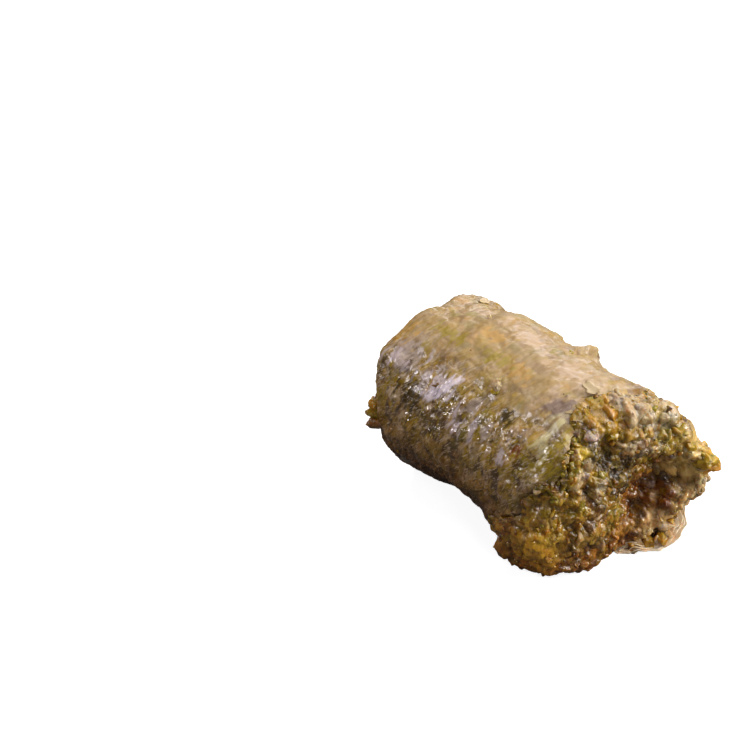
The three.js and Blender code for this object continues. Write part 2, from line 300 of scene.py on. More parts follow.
def crumb_radius(x, angle):
    """The filling's outside where it is bare: spread, with crags."""
    radius = roll_radius(x, angle) + sum_of_forms(SPREADS, x, angle)
    size, height, lowered = SIDE_CRAGS
    return radius - lowered + height * lumps(x, sideways(radius, angle), upwards(radius, angle), size)


def filling_radius(x, angle):
    """From the covered radius up to the bare one in a short step at the sheet's edge. Under a lip
    and past it, crumbs cling to the sheet and fall off in a bell."""
    edge = torn_edge(angle)
    bare = clamp01((x - edge + BARE_STEP) / BARE_STEP)
    covered = roll_radius(x, angle) - ROOM + lip_lift(np.minimum(x, edge), angle, edge)
    clinging = 0.9 * lip_lift(edge, angle, edge) * bell(np.maximum(0, x - edge) / 2.2)
    return mix(covered, crumb_radius(x, angle) + clinging, bare)


def face_point(end, share, angle):
    """x and radius on an end's face: the middle eased out to the rim, with hollows and crags."""
    rim = through_knots(end["rim"], angle)
    radius = share * (filling_radius(rim - end["outwards"] * end["corner"], angle) - end["corner"])
    y, z = sideways(radius, angle), upwards(radius, angle) - AXIS_HEIGHT
    size, height, lowered = FACE_CRAGS
    relief = height * lumps(y, z, 60.0 * end["outwards"] + 0 * y, size) - lowered
    for at_y, at_z, reach, form_height in end["forms"]:
        relief = relief + form_height * bell(np.hypot(y - at_y, z - at_z) / reach)
    x = mix(end["middle"], rim, share**2) + end["outwards"] * (1 - share**4) * relief
    return x, radius


def corner_point(end, turn, angle):
    """x and radius on a quarter round between side, turn 0, and face, turn 1."""
    x = through_knots(end["rim"], angle) - end["outwards"] * end["corner"]
    radius = filling_radius(x, angle) - end["corner"] * (1 - np.cos(turn * math.pi / 2))
    return x + end["outwards"] * end["corner"] * np.sin(turn * math.pi / 2), radius


# ---------------------------------------------------------------- meshes


def make_mesh(name, points, faces, attributes=(), smooth=True):
    """A mesh object from points in mm and arrays of faces. Attributes are (name, values): one
    number for each point, or three for a colour."""
    mesh = bpy.data.meshes.new(name)
    corners = [face for group in faces for face in np.asarray(group).tolist()]
    mesh.from_pydata((np.asarray(points) * 0.001).tolist(), [], corners)
    for label, values in attributes:
        values = np.asarray(values, np.float32)
        if values.ndim == 1:
            mesh.attributes.new(label, "FLOAT", "POINT").data.foreach_set("value", values)
        else:
            colour = np.concatenate([values, np.ones((len(values), 1), np.float32)], axis=1)
            layer = mesh.attributes.new(label, "FLOAT_COLOR", "POINT")
            layer.data.foreach_set("color", colour.ravel())
    mesh.polygons.foreach_set("use_smooth", [smooth] * len(mesh.polygons))
    mesh.update()
    piece = bpy.data.objects.new(name, mesh)
    bpy.context.scene.collection.objects.link(piece)
    return piece


def ring_faces(rings, around, closed):
    """Quads between neighbouring rings of points; closed also joins the last ring to the first."""
    ring = np.arange(rings if closed else rings - 1)[:, None]
    step = np.arange(around)[None, :]
    a = ring * around + step
    b = ring * around + (step + 1) % around
    c = ((ring + 1) % rings) * around + (step + 1) % around
    d = ((ring + 1) % rings) * around + step
    return np.stack([a, b, c, d], axis=-1).reshape(-1, 4)


def slab_faces(rows, columns):
    """Quads of a closed slab between two such grids of points, one after the other: both faces and
    the rim between them."""
    count = rows * columns
    index = np.arange(count).reshape(rows, columns)
    upper = np.stack([index[:-1, :-1], index[1:, :-1], index[1:, 1:], index[:-1, 1:]], axis=-1)
    upper = upper.reshape(-1, 4)
    loop = np.concatenate([index[0, :-1], index[:-1, -1], index[-1, :0:-1], index[:0:-1, 0]])
    after = np.roll(loop, -1)
    rim = np.stack([loop, after, after + count, loop + count], axis=1)
    return np.concatenate([upper, upper[:, ::-1] + count, rim])


def joined(parts):
    """The points of several (points, faces) in one array, and their faces numbered to match."""
    starts = np.cumsum([0, *(len(points) for points, _ in parts)])
    faces = [faces + start for (_, faces), start in zip(parts, starts)]
    return np.concatenate([points for points, _ in parts]), faces


def ring_normals(points):
    """Unit normals of a grid of rings: the step round crossed with the step to the next ring."""
    around = np.roll(points, -1, axis=1) - np.roll(points, 1, axis=1)
    along = np.gradient(points, axis=0)
    normal = np.cross(around, along)
    return normal / np.maximum(np.linalg.norm(normal, axis=-1, keepdims=True), 1e-9)


def icosphere(levels):
    """Points and triangles of a unit icosahedron, each triangle cut in four that many times."""
    g = (1 + math.sqrt(5)) / 2
    points = np.array(
        [(-1, g, 0), (1, g, 0), (-1, -g, 0), (1, -g, 0), (0, -1, g), (0, 1, g), (0, -1, -g),
         (0, 1, -g), (g, 0, -1), (g, 0, 1), (-g, 0, -1), (-g, 0, 1)]
    )
    faces = np.array(
        [(0, 11, 5), (0, 5, 1), (0, 1, 7), (0, 7, 10), (0, 10, 11), (1, 5, 9), (5, 11, 4),
         (11, 10, 2), (10, 7, 6), (7, 1, 8), (3, 9, 4), (3, 4, 2), (3, 2, 6), (3, 6, 8),
         (3, 8, 9), (4, 9, 5), (2, 4, 11), (6, 2, 10), (8, 6, 7), (9, 8, 1)]
    )
    points = points / np.linalg.norm(points[0])
    for _ in range(levels):
        edges = np.sort(faces[:, [0, 1, 1, 2, 2, 0]].reshape(-1, 2), axis=1)
        unique, where = np.unique(edges, axis=0, return_inverse=True)
        middle = points[unique].mean(axis=1)
        middle /= np.linalg.norm(middle, axis=1, keepdims=True)
        a, b, c = faces.T
        ab, bc, ca = (where.reshape(-1, 3) + len(points)).T
        points = np.concatenate([points, middle])
        faces = np.concatenate(
            [np.stack(t, axis=1) for t in ((a, ab, ca), (b, bc, ab), (c, ca, bc), (ab, bc, ca))]
        )
    return points, faces


def turns(count, draw):
    """One random turn for each item: rotation matrices from unit quaternions."""
    q = draw.normal(size=(count, 4))
    w, x, y, z = (q / np.linalg.norm(q, axis=1, keepdims=True)).T
    return np.stack(
        [
            np.stack([1 - 2 * (y * y + z * z), 2 * (x * y - z * w), 2 * (x * z + y * w)], axis=1),
            np.stack([2 * (x * y + z * w), 1 - 2 * (x * x + z * z), 2 * (y * z - x * w)], axis=1),
            np.stack([2 * (x * z - y * w), 2 * (y * z + x * w), 1 - 2 * (x * x + y * y)], axis=1),
        ],
        axis=1,
    )


def stones(centres, sizes, levels, draw, sliced=0.35):
    """Crushed bits: unit spheres sliced flat by random planes, p - max(0, p.n - d) n with d from
    sliced up, roughened by noise, stretched along three axes, turned at random, scaled and moved
    to their centres."""
    points, faces = icosphere(levels)
    count = len(centres)
    shape = np.repeat(points[None], count, axis=0)
    for _ in range(8):
        normal = draw.normal(size=(count, 1, 3))
        normal /= np.linalg.norm(normal, axis=2, keepdims=True)
        depth = draw.uniform(sliced, 0.8, size=(count, 1, 1))
        over = np.maximum(0.0, (shape * normal).sum(axis=2, keepdims=True) - depth)
        shape = shape - over * normal
    seeds = draw.uniform(0, 50, size=(count, 1, 1))
    x, y, z = np.moveaxis(1.7 * shape + seeds, 2, 0)
    shape = shape * (0.82 + 0.36 * noise(x, y, z) + 0.16 * noise(2.3 * x, 2.3 * y, 2.3 * z))[..., None]
    stretch = np.stack(
        [draw.uniform(1.0, 1.35, count), draw.uniform(0.75, 1.05, count), draw.uniform(0.55, 0.9, count)],
        axis=1,
    )
    shape = np.einsum("gij,gvj->gvi", turns(count, draw), shape * stretch[:, None])
    placed_points = shape * np.asarray(sizes)[:, None, None] + np.asarray(centres)[:, None]
    placed_points[..., 2] = np.maximum(placed_points[..., 2], 0.02)
    offsets = (np.arange(count) * len(points))[:, None, None]
    return placed_points.reshape(-1, 3), (faces[None] + offsets).reshape(-1, 3), len(points)


# ---------------------------------------------------------------- colours and materials


def srgb(red, green, blue):
    """A screen colour of 0 to 255 as linear light."""
    values = np.array([red, green, blue]) / 255
    linear = np.where(values <= 0.04045, values / 12.92, ((values + 0.055) / 1.055) ** 2.4)
    return tuple(float(v) for v in linear)


FIBRE_DEPTH = 0.08
SLANT = 0.4  # how far the fibres of the sheet lean from straight round the roll, in radians

# Tints of what shows on the sheet and at the torn end.
OLIVE = srgb(152, 128, 20)
STRAW = srgb(214, 182, 56)
HONEY = srgb(180, 138, 66)
OCHRE = srgb(176, 128, 30)
# A tan colour; on the sheet its marks also paint the broad highlight of the top, a painted sheen.
TAN_AND_SHEEN = srgb(184, 156, 124)
# Cream of the pale ridge and by the layers, lightened as painted light where they lie in shade.
CREAM_AND_PAINTED_LIGHT = srgb(244, 214, 160)
# Amber of the crumbs by the tip, lightened as painted light for the glow of light through them.
AMBER_AND_PAINTED_LIGHT = srgb(226, 192, 116)
RUST = srgb(124, 60, 12)
# A dark red brown, which in the cavity of the torn end is painted shade.
MAROON_AND_PAINTED_SHADE = srgb(52, 20, 10)
SHADE = srgb(50, 38, 14)
BROWN = srgb(98, 70, 32)
PALE_NUT = srgb(190, 178, 150)
NUT_SKIN = srgb(110, 86, 76)
# Painted sheen and highlights: the lilac white of light glancing off the syrup, painted into the colour,
# dull, plain and bright.
DULL_PAINTED_SHEEN = srgb(176, 156, 142)
PAINTED_SHEEN = srgb(202, 184, 184)
PAINTED_HIGHLIGHT = srgb(234, 220, 230)
PALE_LAYER = srgb(206, 192, 142)


def add(tree, kind, inputs=None, **settings):
    """A node of that kind, with its settings and its inputs: values, or sockets to link."""
    node = tree.nodes.new(kind)
    for name, value in settings.items():
        setattr(node, name, value)
    for key, value in (inputs or {}).items():
        socket = node.inputs[key]
        if isinstance(value, bpy.types.NodeSocket):
            tree.links.new(value, socket)
        elif isinstance(value, tuple) and len(value) == 3 and socket.type == "RGBA":
            socket.default_value = (*value, 1.0)
        else:
            socket.default_value = value
    return node


def colour_mix(tree, factor, a, b, blend="MIX"):
    inputs = {0: factor, 6: a, 7: b}
    return add(tree, "ShaderNodeMix", inputs, data_type="RGBA", blend_type=blend).outputs[2]


def stretch(tree, value, low, high, to_low=0.0, to_high=1.0):
    """The value, moved from low..high to to_low..to_high and held there."""
    inputs = {0: value, 1: low, 2: high, 3: to_low, 4: to_high}
    return add(tree, "ShaderNodeMapRange", inputs, clamp=True).outputs[0]


def maths(tree, operation, a, b):
    return add(tree, "ShaderNodeMath", {0: a, 1: b}, operation=operation).outputs[0]


def grain_noise(tree, vector, size, detail=2.0, squeeze=None, lean=0.0):
    """Noise with lumps of that size in mm; squeeze gives the sizes along X, Y and Z instead, and
    lean turns them about Y, in radians."""
    inputs = {"Vector": vector, "Rotation": (0.0, lean, 0.0), "Scale": squeeze or (size, size, size)}
    mapped = add(tree, "ShaderNodeMapping", inputs, vector_type="TEXTURE")
    inputs = {"Vector": mapped.outputs[0], "Scale": 1.0, "Detail": detail, "Roughness": 0.6}
    return add(tree, "ShaderNodeTexNoise", inputs).outputs[0]


def new_group(name, inputs, outputs):
    """An empty shader node group with those named sockets: (name, kind, default)."""
    group = bpy.data.node_groups.new(name, "ShaderNodeTree")
    for label, kind, default in inputs:
        socket = group.interface.new_socket(name=label, in_out="INPUT", socket_type=kind)
        if default is not None:
            socket.default_value = default
    for label, kind in outputs:
        group.interface.new_socket(name=label, in_out="OUTPUT", socket_type=kind)
    return group, group.nodes.new("NodeGroupInput").outputs, group.nodes.new("NodeGroupOutput").inputs


def millimetre_group():
    """Object coordinates in millimetres; painted shade, 1 at the foot and less higher up and where the
    torn end stands out; and how crisp the fibres of the dough are, less at the top and at the back."""
    floats = [("Foot_Shade", "NodeSocketFloat"), ("Crisp", "NodeSocketFloat")]
    outputs = [("Place", "NodeSocketVector"), *floats]
    group, _, out = new_group("place_in_mm", [], outputs)
    place = add(group, "ShaderNodeTexCoord").outputs["Object"]
    scaled = add(group, "ShaderNodeMapping", {"Vector": place, "Scale": (1000.0, 1000.0, 1000.0)})
    apart = add(group, "ShaderNodeSeparateXYZ", {0: scaled.outputs[0]})
    uneven = grain_noise(group, scaled.outputs[0], 5.0)
    height = maths(group, "ADD", apart.outputs[2], maths(group, "MULTIPLY", uneven, 5.0))
    group.links.new(scaled.outputs[0], out["Place"])
    # Painted shade: 1 at the foot, falling to 0 by 24 mm up, weaker where the torn end stands out.
    drained = stretch(group, apart.outputs[0], 16.5, 20.0, 1.0, 0.4)
    soaked = maths(group, "MULTIPLY", stretch(group, height, 24.0, 3.0), drained)
    group.links.new(soaked, out["Foot_Shade"])
    front = stretch(group, apart.outputs[1], 7.0, -1.0, 0.78, 1.0)
    crisp = stretch(group, height, 29.5, 24.0, 0.12, 1.0)
    group.links.new(maths(group, "MULTIPLY", crisp, front), out["Crisp"])
    return group


def syrup_group():
    """A film of syrup: roughness that varies in patches, and the height of its fine pimples."""
    inputs = [
        ("Place", "NodeSocketVector", None),
        ("Smoothest", "NodeSocketFloat", 0.25),
        ("Roughest", "NodeSocketFloat", 0.6),
        ("Pimples", "NodeSocketFloat", 0.35),
    ]
    outputs = [("Roughness", "NodeSocketFloat"), ("Height", "NodeSocketFloat")]
    group, given, out = new_group("syrup_film", inputs, outputs)
    patches = stretch(group, grain_noise(group, given["Place"], 2.2, 3.0), 0.35, 0.65)
    spread = maths(group, "SUBTRACT", given["Roughest"], given["Smoothest"])
    rough = maths(group, "MULTIPLY_ADD", patches, spread)
    group.links.new(given["Smoothest"], rough.node.inputs[2])
    coarse = grain_noise(group, given["Place"], 0.8, 2.0)
    fine = grain_noise(group, given["Place"], 0.3, 1.0)
    height = maths(group, "MULTIPLY", maths(group, "ADD", coarse, fine), given["Pimples"])
    group.links.new(rough, out["Roughness"])
    group.links.new(height, out["Height"])
    return group


def mottle_group():
    """A colour broken up by lighter and darker lumps of a given size."""
    inputs = [
        ("Place", "NodeSocketVector", None),
        ("Colour", "NodeSocketColor", None),
        ("Dark", "NodeSocketColor", None),
        ("Light", "NodeSocketColor", None),
        ("Strength", "NodeSocketFloat", 0.5),
    ]
    group, given, out = new_group("mottled", inputs, [("Colour", "NodeSocketColor")])
    coarse = grain_noise(group, given["Place"], 1.3, 3.0)
    dark = maths(group, "MULTIPLY", stretch(group, coarse, 0.5, 0.3), given["Strength"])
    light = maths(group, "MULTIPLY", stretch(group, coarse, 0.52, 0.72), given["Strength"])
    colour = colour_mix(group, dark, given["Colour"], given["Dark"])
    colour = colour_mix(group, light, colour, given["Light"])
    group.links.new(colour, out["Colour"])
    return group


PLACE = millimetre_group()
SYRUP = syrup_group()
MOTTLE = mottle_group()


def place_group(tree, group, inputs=None):
    return add(tree, "ShaderNodeGroup", inputs, node_tree=group).outputs


def new_material(name):
    material = bpy.data.materials.new(name)
    material.use_nodes = True
    tree = material.node_tree
    return material, tree, tree.nodes["Principled BSDF"]


def wet(tree, shader, place, smoothest, roughest, pimples, depth, fibres=None):
    """Syrup's roughness and pimples on the shader, over fibres of a dough if it has them."""
    film = {"Place": place, "Smoothest": smoothest, "Roughest": roughest, "Pimples": pimples}
    syrup = place_group(tree, SYRUP, film)
    bump = add(tree, "ShaderNodeBump", {"Height": syrup["Height"], "Distance": depth * 0.001})
    if fibres is not None:
        under = add(tree, "ShaderNodeBump", {"Height": fibres, "Distance": FIBRE_DEPTH * 0.001})
        tree.links.new(under.outputs[0], bump.inputs["Normal"])
    tree.links.new(syrup["Roughness"], shader.inputs["Roughness"])
    tree.links.new(bump.outputs[0], shader.inputs["Normal"])


def translucent(shader, weight, depth):
    shader.inputs["Subsurface Weight"].default_value = weight
    shader.inputs["Subsurface Radius"].default_value = (1.0, 0.6, 0.2)
    shader.inputs["Subsurface Scale"].default_value = depth * 0.001


def read_attribute(tree, name, output="Fac"):
    return add(tree, "ShaderNodeAttribute", None, attribute_name=name).outputs[output]


def laid_over(tree, place, colour, tint, size, low, high, strength, detail=3.0, lean=0.0):
    """The tint over the colour, where a noise of that size goes from low to high."""
    share = stretch(tree, grain_noise(tree, place, 1.0, detail, size, lean), low, high)
    return colour_mix(tree, maths(tree, "MULTIPLY", share, strength), colour, tint)


def pastry_material():
    """Pastry under syrup: tan dough in blotches of yellow olive, brown, mauve and cream, streaked round
    the roll with finer fibres, most of all below the top and on the front; what lies under or on it
    shows by its tint, and its marks paint sheen, highlights and shade too; painted shade darkens the foot."""
    material, tree, shader = new_material("soaked_pastry")
    at = place_group(tree, PLACE)
    place = at["Place"]
    soaking = at["Crisp"]

    def laid(*settings, lean=SLANT):
        return laid_over(tree, place, *settings, lean=lean)

    def soaked(strength):
        return maths(tree, "MULTIPLY", soaking, strength)

    colour = laid(srgb(176, 142, 72), srgb(154, 124, 6), (1.5, 3.4, 3.4), 0.45, 0.54, 0.95)
    colour = laid(colour, srgb(182, 128, 40), (2.2, 3.6, 3.6), 0.53, 0.61, 0.55)
    colour = laid(colour, srgb(116, 84, 52), (2.0, 2.8, 2.8), 0.53, 0.61, 0.75)
    colour = laid(colour, srgb(196, 168, 136), (1.7, 2.8, 2.8), 0.52, 0.6, 0.75)
    colour = laid(colour, srgb(54, 32, 2), (2.6, 3.6, 3.6), 0.5, 0.4, soaked(0.85))
    colour = laid(colour, srgb(160, 134, 20), (1.1, 1.8, 1.8), 0.54, 0.61, soaked(0.7))
    colour = laid(colour, srgb(62, 40, 4), (0.9, 1.8, 1.8), 0.46, 0.37, soaked(0.65))
    colour = laid(colour, srgb(216, 190, 160), (0.7, 1.5, 1.5), 0.56, 0.65, soaked(0.6))
    calm = stretch(tree, at["Crisp"], 0.12, 0.95, 0.7, 0.0)
    colour = colour_mix(tree, calm, colour, srgb(172, 144, 106))
    colour = colour_mix(tree, read_attribute(tree, "show"), colour, read_attribute(tree, "tint", "Color"))
    colour = laid(colour, srgb(66, 42, 4), (0.32, 1.4, 1.4), 0.46, 0.37, soaked(0.5), 2.0)
    colour = laid(colour, srgb(224, 202, 178), (0.28, 1.3, 1.3), 0.56, 0.64, soaked(0.45), 2.0, lean=0.85)
    colour = colour_mix(tree, read_attribute(tree, "pale"), colour, srgb(202, 180, 140))
    # Painted shade: the colour is multiplied darker towards the foot, less so towards the back.
    low_down = stretch(tree, at["Foot_Shade"], 0.08, 0.7)
    foot = maths(tree, "MULTIPLY", low_down, stretch(tree, at["Crisp"], 0.8, 1.0, 0.55, 1.0))
    colour = colour_mix(tree, foot, colour, srgb(142, 98, 10), "MULTIPLY")
    tree.links.new(colour, shader.inputs["Base Color"])
    fibres = grain_noise(tree, place, 1.0, 2.0, (0.4, 1.1, 1.1), SLANT)
    fibres = maths(tree, "MULTIPLY", fibres, at["Crisp"])
    smoothest = stretch(tree, at["Crisp"], 0.12, 1.0, 0.36, 0.1)
    roughest = stretch(tree, at["Crisp"], 0.12, 1.0, 0.56, 0.26)
    wet(tree, shader, place, smoothest, roughest, soaked(0.7), 0.07, fibres)
    translucent(shader, 0.1, 1.0)
    shader.inputs["Specular IOR Level"].default_value = 0.55
    return material


def layer_material():
    """Single layers of pastry at the torn edge: cream, lightened near to white as painted light where they
    lie in shade, and thin enough to glow.
    """
    material, tree, shader = new_material("pale_layers")
    at = place_group(tree, PLACE)
    inputs = {
        "Place": at["Place"],
        "Colour": srgb(252, 230, 196),
        "Dark": srgb(244, 186, 130),
        "Light": srgb(254, 244, 226),
        "Strength": 0.8,
    }
    tree.links.new(place_group(tree, MOTTLE, inputs)["Colour"], shader.inputs["Base Color"])
    wet(tree, shader, at["Place"], 0.3, 0.5, 0.5, 0.06)
    translucent(shader, 0.15, 0.5)
    shader.inputs["Specular IOR Level"].default_value = 0.3
    return material


def nut_material(name, dark, light, strength, glow):
    """Nut flesh or paste under syrup: the tint of each crumb, mottled, with painted shade in the creases and
    hollows.
    """
    material, tree, shader = new_material(name)
    at = place_group(tree, PLACE)
    tint = read_attribute(tree, "tint", "Color")
    inputs = {"Place": at["Place"], "Colour": tint, "Dark": dark, "Light": light, "Strength": strength}
    colour = place_group(tree, MOTTLE, inputs)["Colour"]
    place = at["Place"]
    colour = laid_over(tree, place, colour, srgb(150, 124, 6), (1.6, 1.6, 1.6), 0.53, 0.62, 0.5)
    colour = laid_over(tree, place, colour, srgb(180, 118, 16), (1.4, 1.4, 1.4), 0.56, 0.65, 0.5)
    colour = laid_over(tree, place, colour, srgb(50, 30, 4), (1.2, 1.2, 1.2), 0.43, 0.35, 0.5)
    colour = laid_over(tree, place, colour, srgb(210, 184, 130), (0.9, 0.9, 0.9), 0.6, 0.68, 0.3)
    # Painted shade: dark brown in the creases between crumbs and in the hollow.
    colour = colour_mix(tree, read_attribute(tree, "crevice_shade"), colour, srgb(56, 30, 8))
    # Painted shade: the colour is multiplied darker towards the foot.
    colour = colour_mix(tree, at["Foot_Shade"], colour, srgb(226, 180, 116), "MULTIPLY")
    tree.links.new(colour, shader.inputs["Base Color"])
    wet(tree, shader, place, 0.08, 0.26, 0.9, 0.1)
    translucent(shader, glow, 1.8)
    shader.inputs["Specular IOR Level"].default_value = 0.6
    shader.inputs["Coat Weight"].default_value = 0.05
    shader.inputs["Coat Roughness"].default_value = 0.08
    return material


# ---------------------------------------------------------------- kinds of crumb

# Each kind is (darker tint, lighter tint, dark mottle, light mottle).
KINDS = {
    "green_crumbs": (srgb(104, 92, 14), srgb(146, 130, 32), srgb(64, 52, 6), srgb(184, 166, 84)),
    "olive_crumbs": (srgb(132, 100, 10), srgb(178, 144, 38), srgb(90, 62, 6), srgb(206, 180, 104)),
    "amber_crumbs": (srgb(142, 94, 16), srgb(184, 134, 42), srgb(96, 54, 8), srgb(214, 172, 100)),
    "brown_crumbs": (srgb(88, 56, 20), srgb(130, 94, 46), srgb(54, 30, 8), srgb(172, 138, 92)),
    "pale_crumbs": (srgb(160, 134, 86), srgb(198, 176, 140), srgb(120, 90, 40), srgb(222, 206, 180)),
    "nut_skins": (srgb(84, 58, 44), srgb(146, 122, 110), srgb(46, 28, 22), srgb(206, 188, 184)),
}
TINTS = np.array([kind[:2] for kind in KINDS.values()])


def kind_shares(p):
    """How likely each kind is at a place: amber and brown low at the back of the torn end, amber at
    its tip, pale with skins towards the top and along the rim at the back, olive beside the fold of
    the sheet; each times a slow noise of its own, squared, so that kinds lie in patches."""
    x, y, z = p[..., 0], p[..., 1], p[..., 2]
    torn = clamp01((x - 8) / 6)
    low_back = bell((y - 6) / 6) * bell((z - 6) / 5) * torn
    tip = bell((y - 14) / 4) * bell((z - 13) / 5) * torn
    fold = bell((y + 11.5) / 4) * bell((z - 19) / 5) * torn
    rim = bell((y - 11.5) / 2.5) * bell((z - 7) / 4) * torn
    top = clamp01((z - 19) / 5) * clamp01((y + 5) / 5) * torn
    shares = [
        0.24 * (1 - 0.9 * low_back) * (1 - 0.6 * tip) * (1 - 0.5 * top),
        0.34 * (1 - 0.6 * low_back) + 0.4 * tip + 0.8 * fold,
        0.09 + 0.35 * low_back + 0.25 * tip + 0.2 * rim,
        0.26 + 0.5 * low_back - 0.16 * top,
        0.07 + 0.5 * top + 0.5 * rim,
        0.05 + 0.14 * top,
    ]
    patches = [0.15 + 2 * noise(x / 2.8 + 17 * n, y / 2.8, z / 2.8) ** 2 for n in range(len(KINDS))]
    shares = np.stack([share * patch for share, patch in zip(shares, patches)], axis=-1)
    return shares / shares.sum(axis=-1, keepdims=True)


def kind_at(p, value):
    """The number of the kind that a random value from 0 to 1 picks at a place."""
    passed = value[..., None] > np.cumsum(kind_shares(p), axis=-1)
    return np.minimum(passed.sum(axis=-1), len(KINDS) - 1)


def tint_at(p, tone):
    """The tint of a crumb with that tone at a place."""
    kind = kind_at(p, tone)
    share = scatter(tone * 91.7)[..., None]
    return mix(TINTS[kind, 0], TINTS[kind, 1], share)


# ---------------------------------------------------------------- the pastry sheet

AROUND, ALONG = 480, 176
HUG_REACH = 3.2  # how far from its torn edge the sheet starts to settle onto the crumbs
SHOWN = 0.65  # how much of a nut's tint comes through the sheet

# What shows on the sheet, tint by tint: nuts and dough, with painted sheen and highlights in the
# three syrup-film tints and in part of the tan, and painted shade. Each place is (x, angle, reach along
# x, reach round).
MARKS = {
    OLIVE: [(-4, 16, 2, 1), (-14, 18, 3, 1.2), (15, 56, 2, 3.5), (15.5, 38, 1, 2.5)],
    HONEY: [(-8, 4, 2.5, 1), (0, 16, 2.5, 1.5), (-22, 28, 2, 2.5)],
    TAN_AND_SHEEN: [(-16, -12, 2.5, 1.5), (-4, -12, 4, 1.5), (6, -4, 3, 2), (11, -2, 2.5, 2), (8, 12, 1, 2)],
    DULL_PAINTED_SHEEN: [(-18, 44, 4, 2.5), (-1.5, 46, 1, 1.5), (2, 58, 1, 1)],
    PAINTED_SHEEN: [(-10, 49, 3, 2.2), (-19, 49, 1.5, 1), (-4, 62, 1, 2), (-0.5, 60, 0.6, 1.5), (7, 66, 0.8, 1.5)],
    PAINTED_HIGHLIGHT: [(-9.5, 53, 1.5, 1), (-8, 47, 1, 1.5)],
    SHADE: [(-14, 64, 2.5, 3), (4.5, 44, 1, 1)],
    NUT_SKIN: [(12, 22, 3, 2)],
    RUST: [(9, 56, 0.8, 1)],
    PALE_LAYER: [(12.5, 40, 1, 3)],
}


def widest_first(patches, reach):
    """The places of all tints in one list, each with its tint, from the widest to the smallest."""
    places = [(*place, tint) for tint, found in patches.items() for place in found]
    return sorted(places, key=reach, reverse=True)


def marked(x, angle, tint, show):
    """The marks, among them painted sheen, highlights and shade, laid over a tint and over how much of
    it shows: a bell for each, broken by noise drawn out along the fibres."""
    y, z = sideways(RADIUS, angle), upwards(RADIUS, angle)
    leaning = x - math.tan(SLANT) * z
    broken = noise(leaning / 0.55, y / 1.8, z / 1.8) + 0.7 * noise(leaning / 0.3, y, z) - 0.85
    for at_x, at_angle, along, around, colour in widest_first(MARKS, lambda mark: mark[2] * mark[3]):
        gap = np.radians(angle_gap(angle, at_angle)) * RADIUS
        near = bell(np.hypot((x - at_x) / along, gap / around))
        share = ease(clamp01((near + 1.2 * broken * (near > 0.03) - 0.12) / 0.5))
        tint = mix(tint, np.array(colour), share[..., None])
        show = np.maximum(show, 0.86 * share)
    return tint, show


